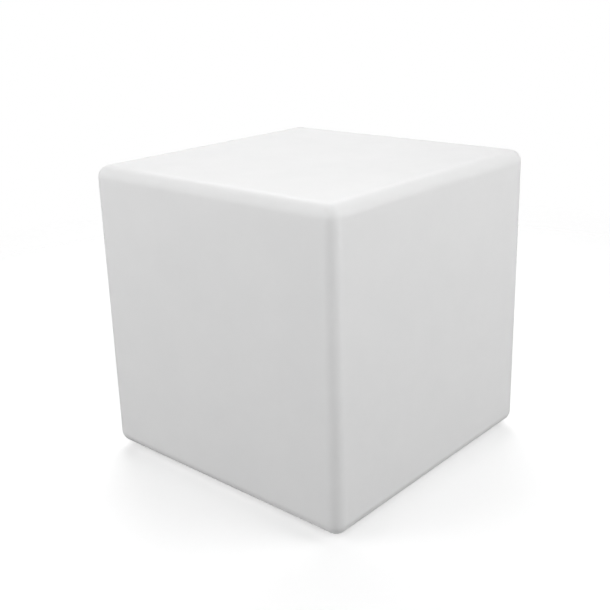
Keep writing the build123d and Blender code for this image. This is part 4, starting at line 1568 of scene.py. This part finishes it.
# ------------------------------------------------------------------ marks on the flange
@dataclass
class FlangeMarks:
    """The raised printed mark on the flange: a bolt by the charging lamp's light guide.

    Args:
        rack: Finishes.
        guide_place: Middle of the light guide.
        proud: How far the mark stands out.
        size: Length of one unit of the mark's outline.
        reach: Distance of the mark's middle from the light guide's, in those units.
        bolt: Outline of the bolt about its middle, in those units.
    """

    rack: FinishRack
    guide_place: Place = (0.0, 12.0 * MM)
    proud: float = 0.12 * MM
    size: float = 1.35 * MM
    reach: float = 4.4
    bolt: tuple[Place, ...] = (
        (0.5, 2.2), (-1.2, -0.3), (-0.1, -0.3), (-0.5, -2.2), (1.2, 0.3), (0.1, 0.3),
    )

    def build(self) -> None:
        """Makes the bolt and fixes it to the cube."""
        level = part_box("charge_light_guide")[0][2]
        bm = bmesh.new()
        points = [
            bm.verts.new((x * self.size, self.guide_place[1] + (self.reach + y) * self.size, level))
            for x, y in self.bolt
        ]
        face = bm.faces.new(points)
        raised = bmesh.ops.extrude_face_region(bm, geom=[face], use_keep_orig=True)["geom"]
        lower = [item for item in raised if isinstance(item, bmesh.types.BMVert)]
        bmesh.ops.translate(bm, verts=lower, vec=(0, 0, -self.proud))
        bmesh.ops.translate(bm, verts=points, vec=(0, 0, self.proud))
        mark = finish_piece(bm, "charge_mark", self.rack["mark_print"])
        hold(mark, "cube", "dark_plastic")


# ------------------------------------------------------------------ studio
@dataclass(frozen=True)
class Softbox:
    """A square area light aimed at the cube.

    Args:
        name: Name of the light.
        azimuth: Direction it stands in, 0 towards -Y and 90 towards +X, in degrees.
        elevation: Height of that direction, in degrees.
        distance: Distance from the cube's middle.
        size: Length of its side.
        power: Power in watts.
        mirrored: Whether it shows in reflections.
        shadows: Whether it casts shadows.
    """

    name: str
    azimuth: float
    elevation: float
    distance: float
    size: float
    power: float
    mirrored: bool = True
    shadows: bool = True


@dataclass
class Studio:
    """Pale floor, soft lights and the camera of the photograph.

    Args:
        azimuth: Camera's direction round the cube, in degrees.
        elevation: Camera's height above the horizon, in degrees.
        distance: Camera's distance from the cube's middle.
        focal_length: Focal length of the lens, in millimetres.
        sensor_width: Width of the camera's sensor, in millimetres.
        clips: Nearest and farthest distance that the camera sees.
        tilt: Small turns that put the cube in its place in the frame, in degrees.
        aim_share: Height of the point aimed at over the underside, as a share of the width.
        light_aim: Height of the point that the lights aim at.
        floor_size: Side of the floor.
        floor_seen: Shade of the floor as the camera sees it.
        floor_bounce: Shade of the floor as it lights the cube.
        floor_lift: Light added to the floor as the camera sees it, so that shadows stay pale.
        floor_edge: Distances between which the floor fades into the backdrop.
        sky: Strength of the even light from all round.
        backdrop: Strength of the backdrop as the camera sees it.
        softboxes: The area lights.
    """

    azimuth: float = 41.1
    elevation: float = 19.0
    distance: float = 1.2426
    focal_length: float = 54.06
    sensor_width: float = 36.0
    clips: tuple[float, float] = (0.01, 200.0)
    tilt: tuple[float, float, float] = (0.4708, -0.6488, 1.403)
    aim_share: float = 0.49775
    light_aim: float = 0.2
    floor_size: float = 60.0
    floor_seen: Colour = (0.95, 0.95, 0.95)
    floor_bounce: Colour = (0.20, 0.20, 0.20)
    floor_lift: float = 0.18
    floor_edge: tuple[float, float] = (0.5, 1.5)
    sky: float = 0.0
    backdrop: float = 1.0
    softboxes: tuple[Softbox, ...] = (
        Softbox("back", 221.0, 45.0, 2.4, 2.0, 27.8),
        Softbox("back_near", 236.0, 50.0, 1.5, 1.2, 4.75),
        Softbox("left", -35.0, 12.0, 2.4, 1.6, 30.0, False),
        Softbox("left_near", -25.0, 45.0, 1.2, 0.8, 1.3, False),
        Softbox("right", 117.0, 12.0, 2.4, 1.6, 31.9, False),
        Softbox("right_near", 107.0, 45.0, 1.2, 0.8, 1.9, False),
        Softbox("front", 41.0, 35.0, 2.6, 1.6, 34.7, False),
        Softbox("below", 41.0, -90.0, 0.55, 0.36, 1.5, True, False),
    )

    def direction(self, azimuth: float, elevation: float) -> Vector:
        """Works out a direction from the cube.

        Args:
            azimuth: 0 towards -Y and 90 towards +X, in degrees.
            elevation: Height above the horizon, in degrees.

        Returns:
            The unit direction.
        """
        a, e = radians(azimuth), radians(elevation)
        return Vector((sin(a) * cos(e), -cos(a) * cos(e), sin(e)))

    def camera(self) -> None:
        """Places the camera as the photograph's silhouette fixes it."""
        low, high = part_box("cube_shell")
        aim = Vector((0.0, 0.0, low[2] + (high[0] - low[0]) * self.aim_share))
        back = self.direction(self.azimuth, self.elevation)
        level = back.to_track_quat("Z", "Y").to_matrix()
        tilt = Euler([radians(turn) for turn in self.tilt], "XYZ").to_matrix()
        lens = bpy.data.cameras.new("photo_camera")
        lens.lens = self.focal_length
        lens.sensor_width = self.sensor_width
        lens.clip_start, lens.clip_end = self.clips
        camera = bpy.data.objects.new("photo_camera", lens)
        turn = (level @ tilt.inverted()).to_4x4()
        camera.matrix_world = Matrix.Translation(aim + back * self.distance) @ turn
        bpy.context.scene.collection.objects.link(camera)
        bpy.context.scene.camera = camera

    def floor(self) -> None:
        """Lays the pale floor, which fades far out and can be seen through from below."""
        bm = bmesh.new()
        bmesh.ops.create_grid(bm, x_segments=1, y_segments=1, size=self.floor_size / 2)
        s = Surface("studio_floor")
        place = s.object_place()
        seen = s.add("LightPath").outputs["Is Camera Ray"]
        tone = s.spread(s.noise(place, 3.0, 4.0), 0.3, 0.7, 0.0, 1.0)
        pale = s.blend(tone, self.floor_seen, tuple(0.99 * part for part in self.floor_seen))
        s.feed(s.shader, Base_Color=s.blend(seen, self.floor_bounce, pale), Roughness=0.9)
        s.shader.inputs["Specular IOR Level"].default_value = 0.0
        lift = s.blend(seen, (0.0, 0.0, 0.0), tuple(self.floor_lift for _ in range(3)))
        s.feed(s.shader, Emission_Color=lift)
        s.shader.inputs["Emission Strength"].default_value = 1.0
        reach = s.add("VectorMath", operation="LENGTH")
        s.tree.links.new(place, reach.inputs[0])
        far = s.spread(reach.outputs["Value"], *self.floor_edge, 0.0, 1.0)
        hidden = s.math("MAXIMUM", s.math("MULTIPLY", far, seen),
                        s.add("NewGeometry").outputs["Backfacing"])
        clear = s.add("BsdfTransparent")
        pick = s.add("MixShader")
        s.tree.links.new(hidden, pick.inputs[0])
        s.tree.links.new(s.shader.outputs[0], pick.inputs[1])
        s.tree.links.new(clear.outputs[0], pick.inputs[2])
        output = next(node for node in s.tree.nodes if node.type == "OUTPUT_MATERIAL")
        s.tree.links.new(pick.outputs[0], output.inputs["Surface"])
        floor = finish_piece(bm, "studio_floor", s.material, turn_out=False)

    def light(self) -> None:
        """Hangs the softboxes and lights the sky."""
        aim = Vector((0.0, 0.0, self.light_aim))
        for box in self.softboxes:
            lamp = bpy.data.lights.new(box.name, "AREA")
            lamp.shape = "SQUARE"
            lamp.size = box.size
            lamp.energy = box.power
            lamp.use_shadow = box.shadows
            holder = bpy.data.objects.new(box.name, lamp)
            holder.visible_camera = False
            holder.visible_glossy = box.mirrored
            way = self.direction(box.azimuth, box.elevation)
            turn = way.to_track_quat("Z", "Y").to_matrix().to_4x4()
            holder.matrix_world = Matrix.Translation(aim + way * box.distance) @ turn
            bpy.context.scene.collection.objects.link(holder)
        world = bpy.data.worlds.new("studio_sky")
        world.use_nodes = True
        sheet = NodeSheet(world.node_tree)
        sky = world.node_tree.nodes["Background"]
        seen = sheet.add("LightPath").outputs["Is Camera Ray"]
        strength = sheet.spread(seen, 0.0, 1.0, self.sky, self.backdrop)
        sheet.feed(sky, Color=(1.0, 1.0, 1.0, 1.0), Strength=strength)
        bpy.context.scene.world = world

    def build(self) -> None:
        """Sets up the studio."""
        self.camera()
        self.floor()
        self.light()
        bpy.context.scene.view_settings.view_transform = "Standard"
        log.info("studio ready")


def main() -> None:
    """Builds the light piece by piece, then the studio."""
    rack = FinishRack()
    rack.dress_nodes()
    CubeMoulding(rack).build()
    RubberFeet(rack).build()
    CrossHeadScrews(rack, "foot_cross_screws", "foot_screws", foot_places(),
                    FOOT_SCREW_HEAD, 3.0 * MM, 2.5 * MM).build()
    CrossHeadScrews(rack, "base_cross_screws", "base_screws", base_screw_places(),
                    BASE_SCREW_HEAD, 2.6 * MM, 2.0 * MM).build()
    PushButton(rack, Mark.POWER, (-BUTTON_REACH, BUTTON_ROW)).build()
    PushButton(rack, Mark.COLOUR, (BUTTON_REACH, BUTTON_ROW)).build()
    ChargingCover(rack).build()
    FlangeMarks(rack).build()
    Studio().build()


if __name__ == "__main__":
    logging.basicConfig(level=logging.INFO, format="%(message)s")
    main()
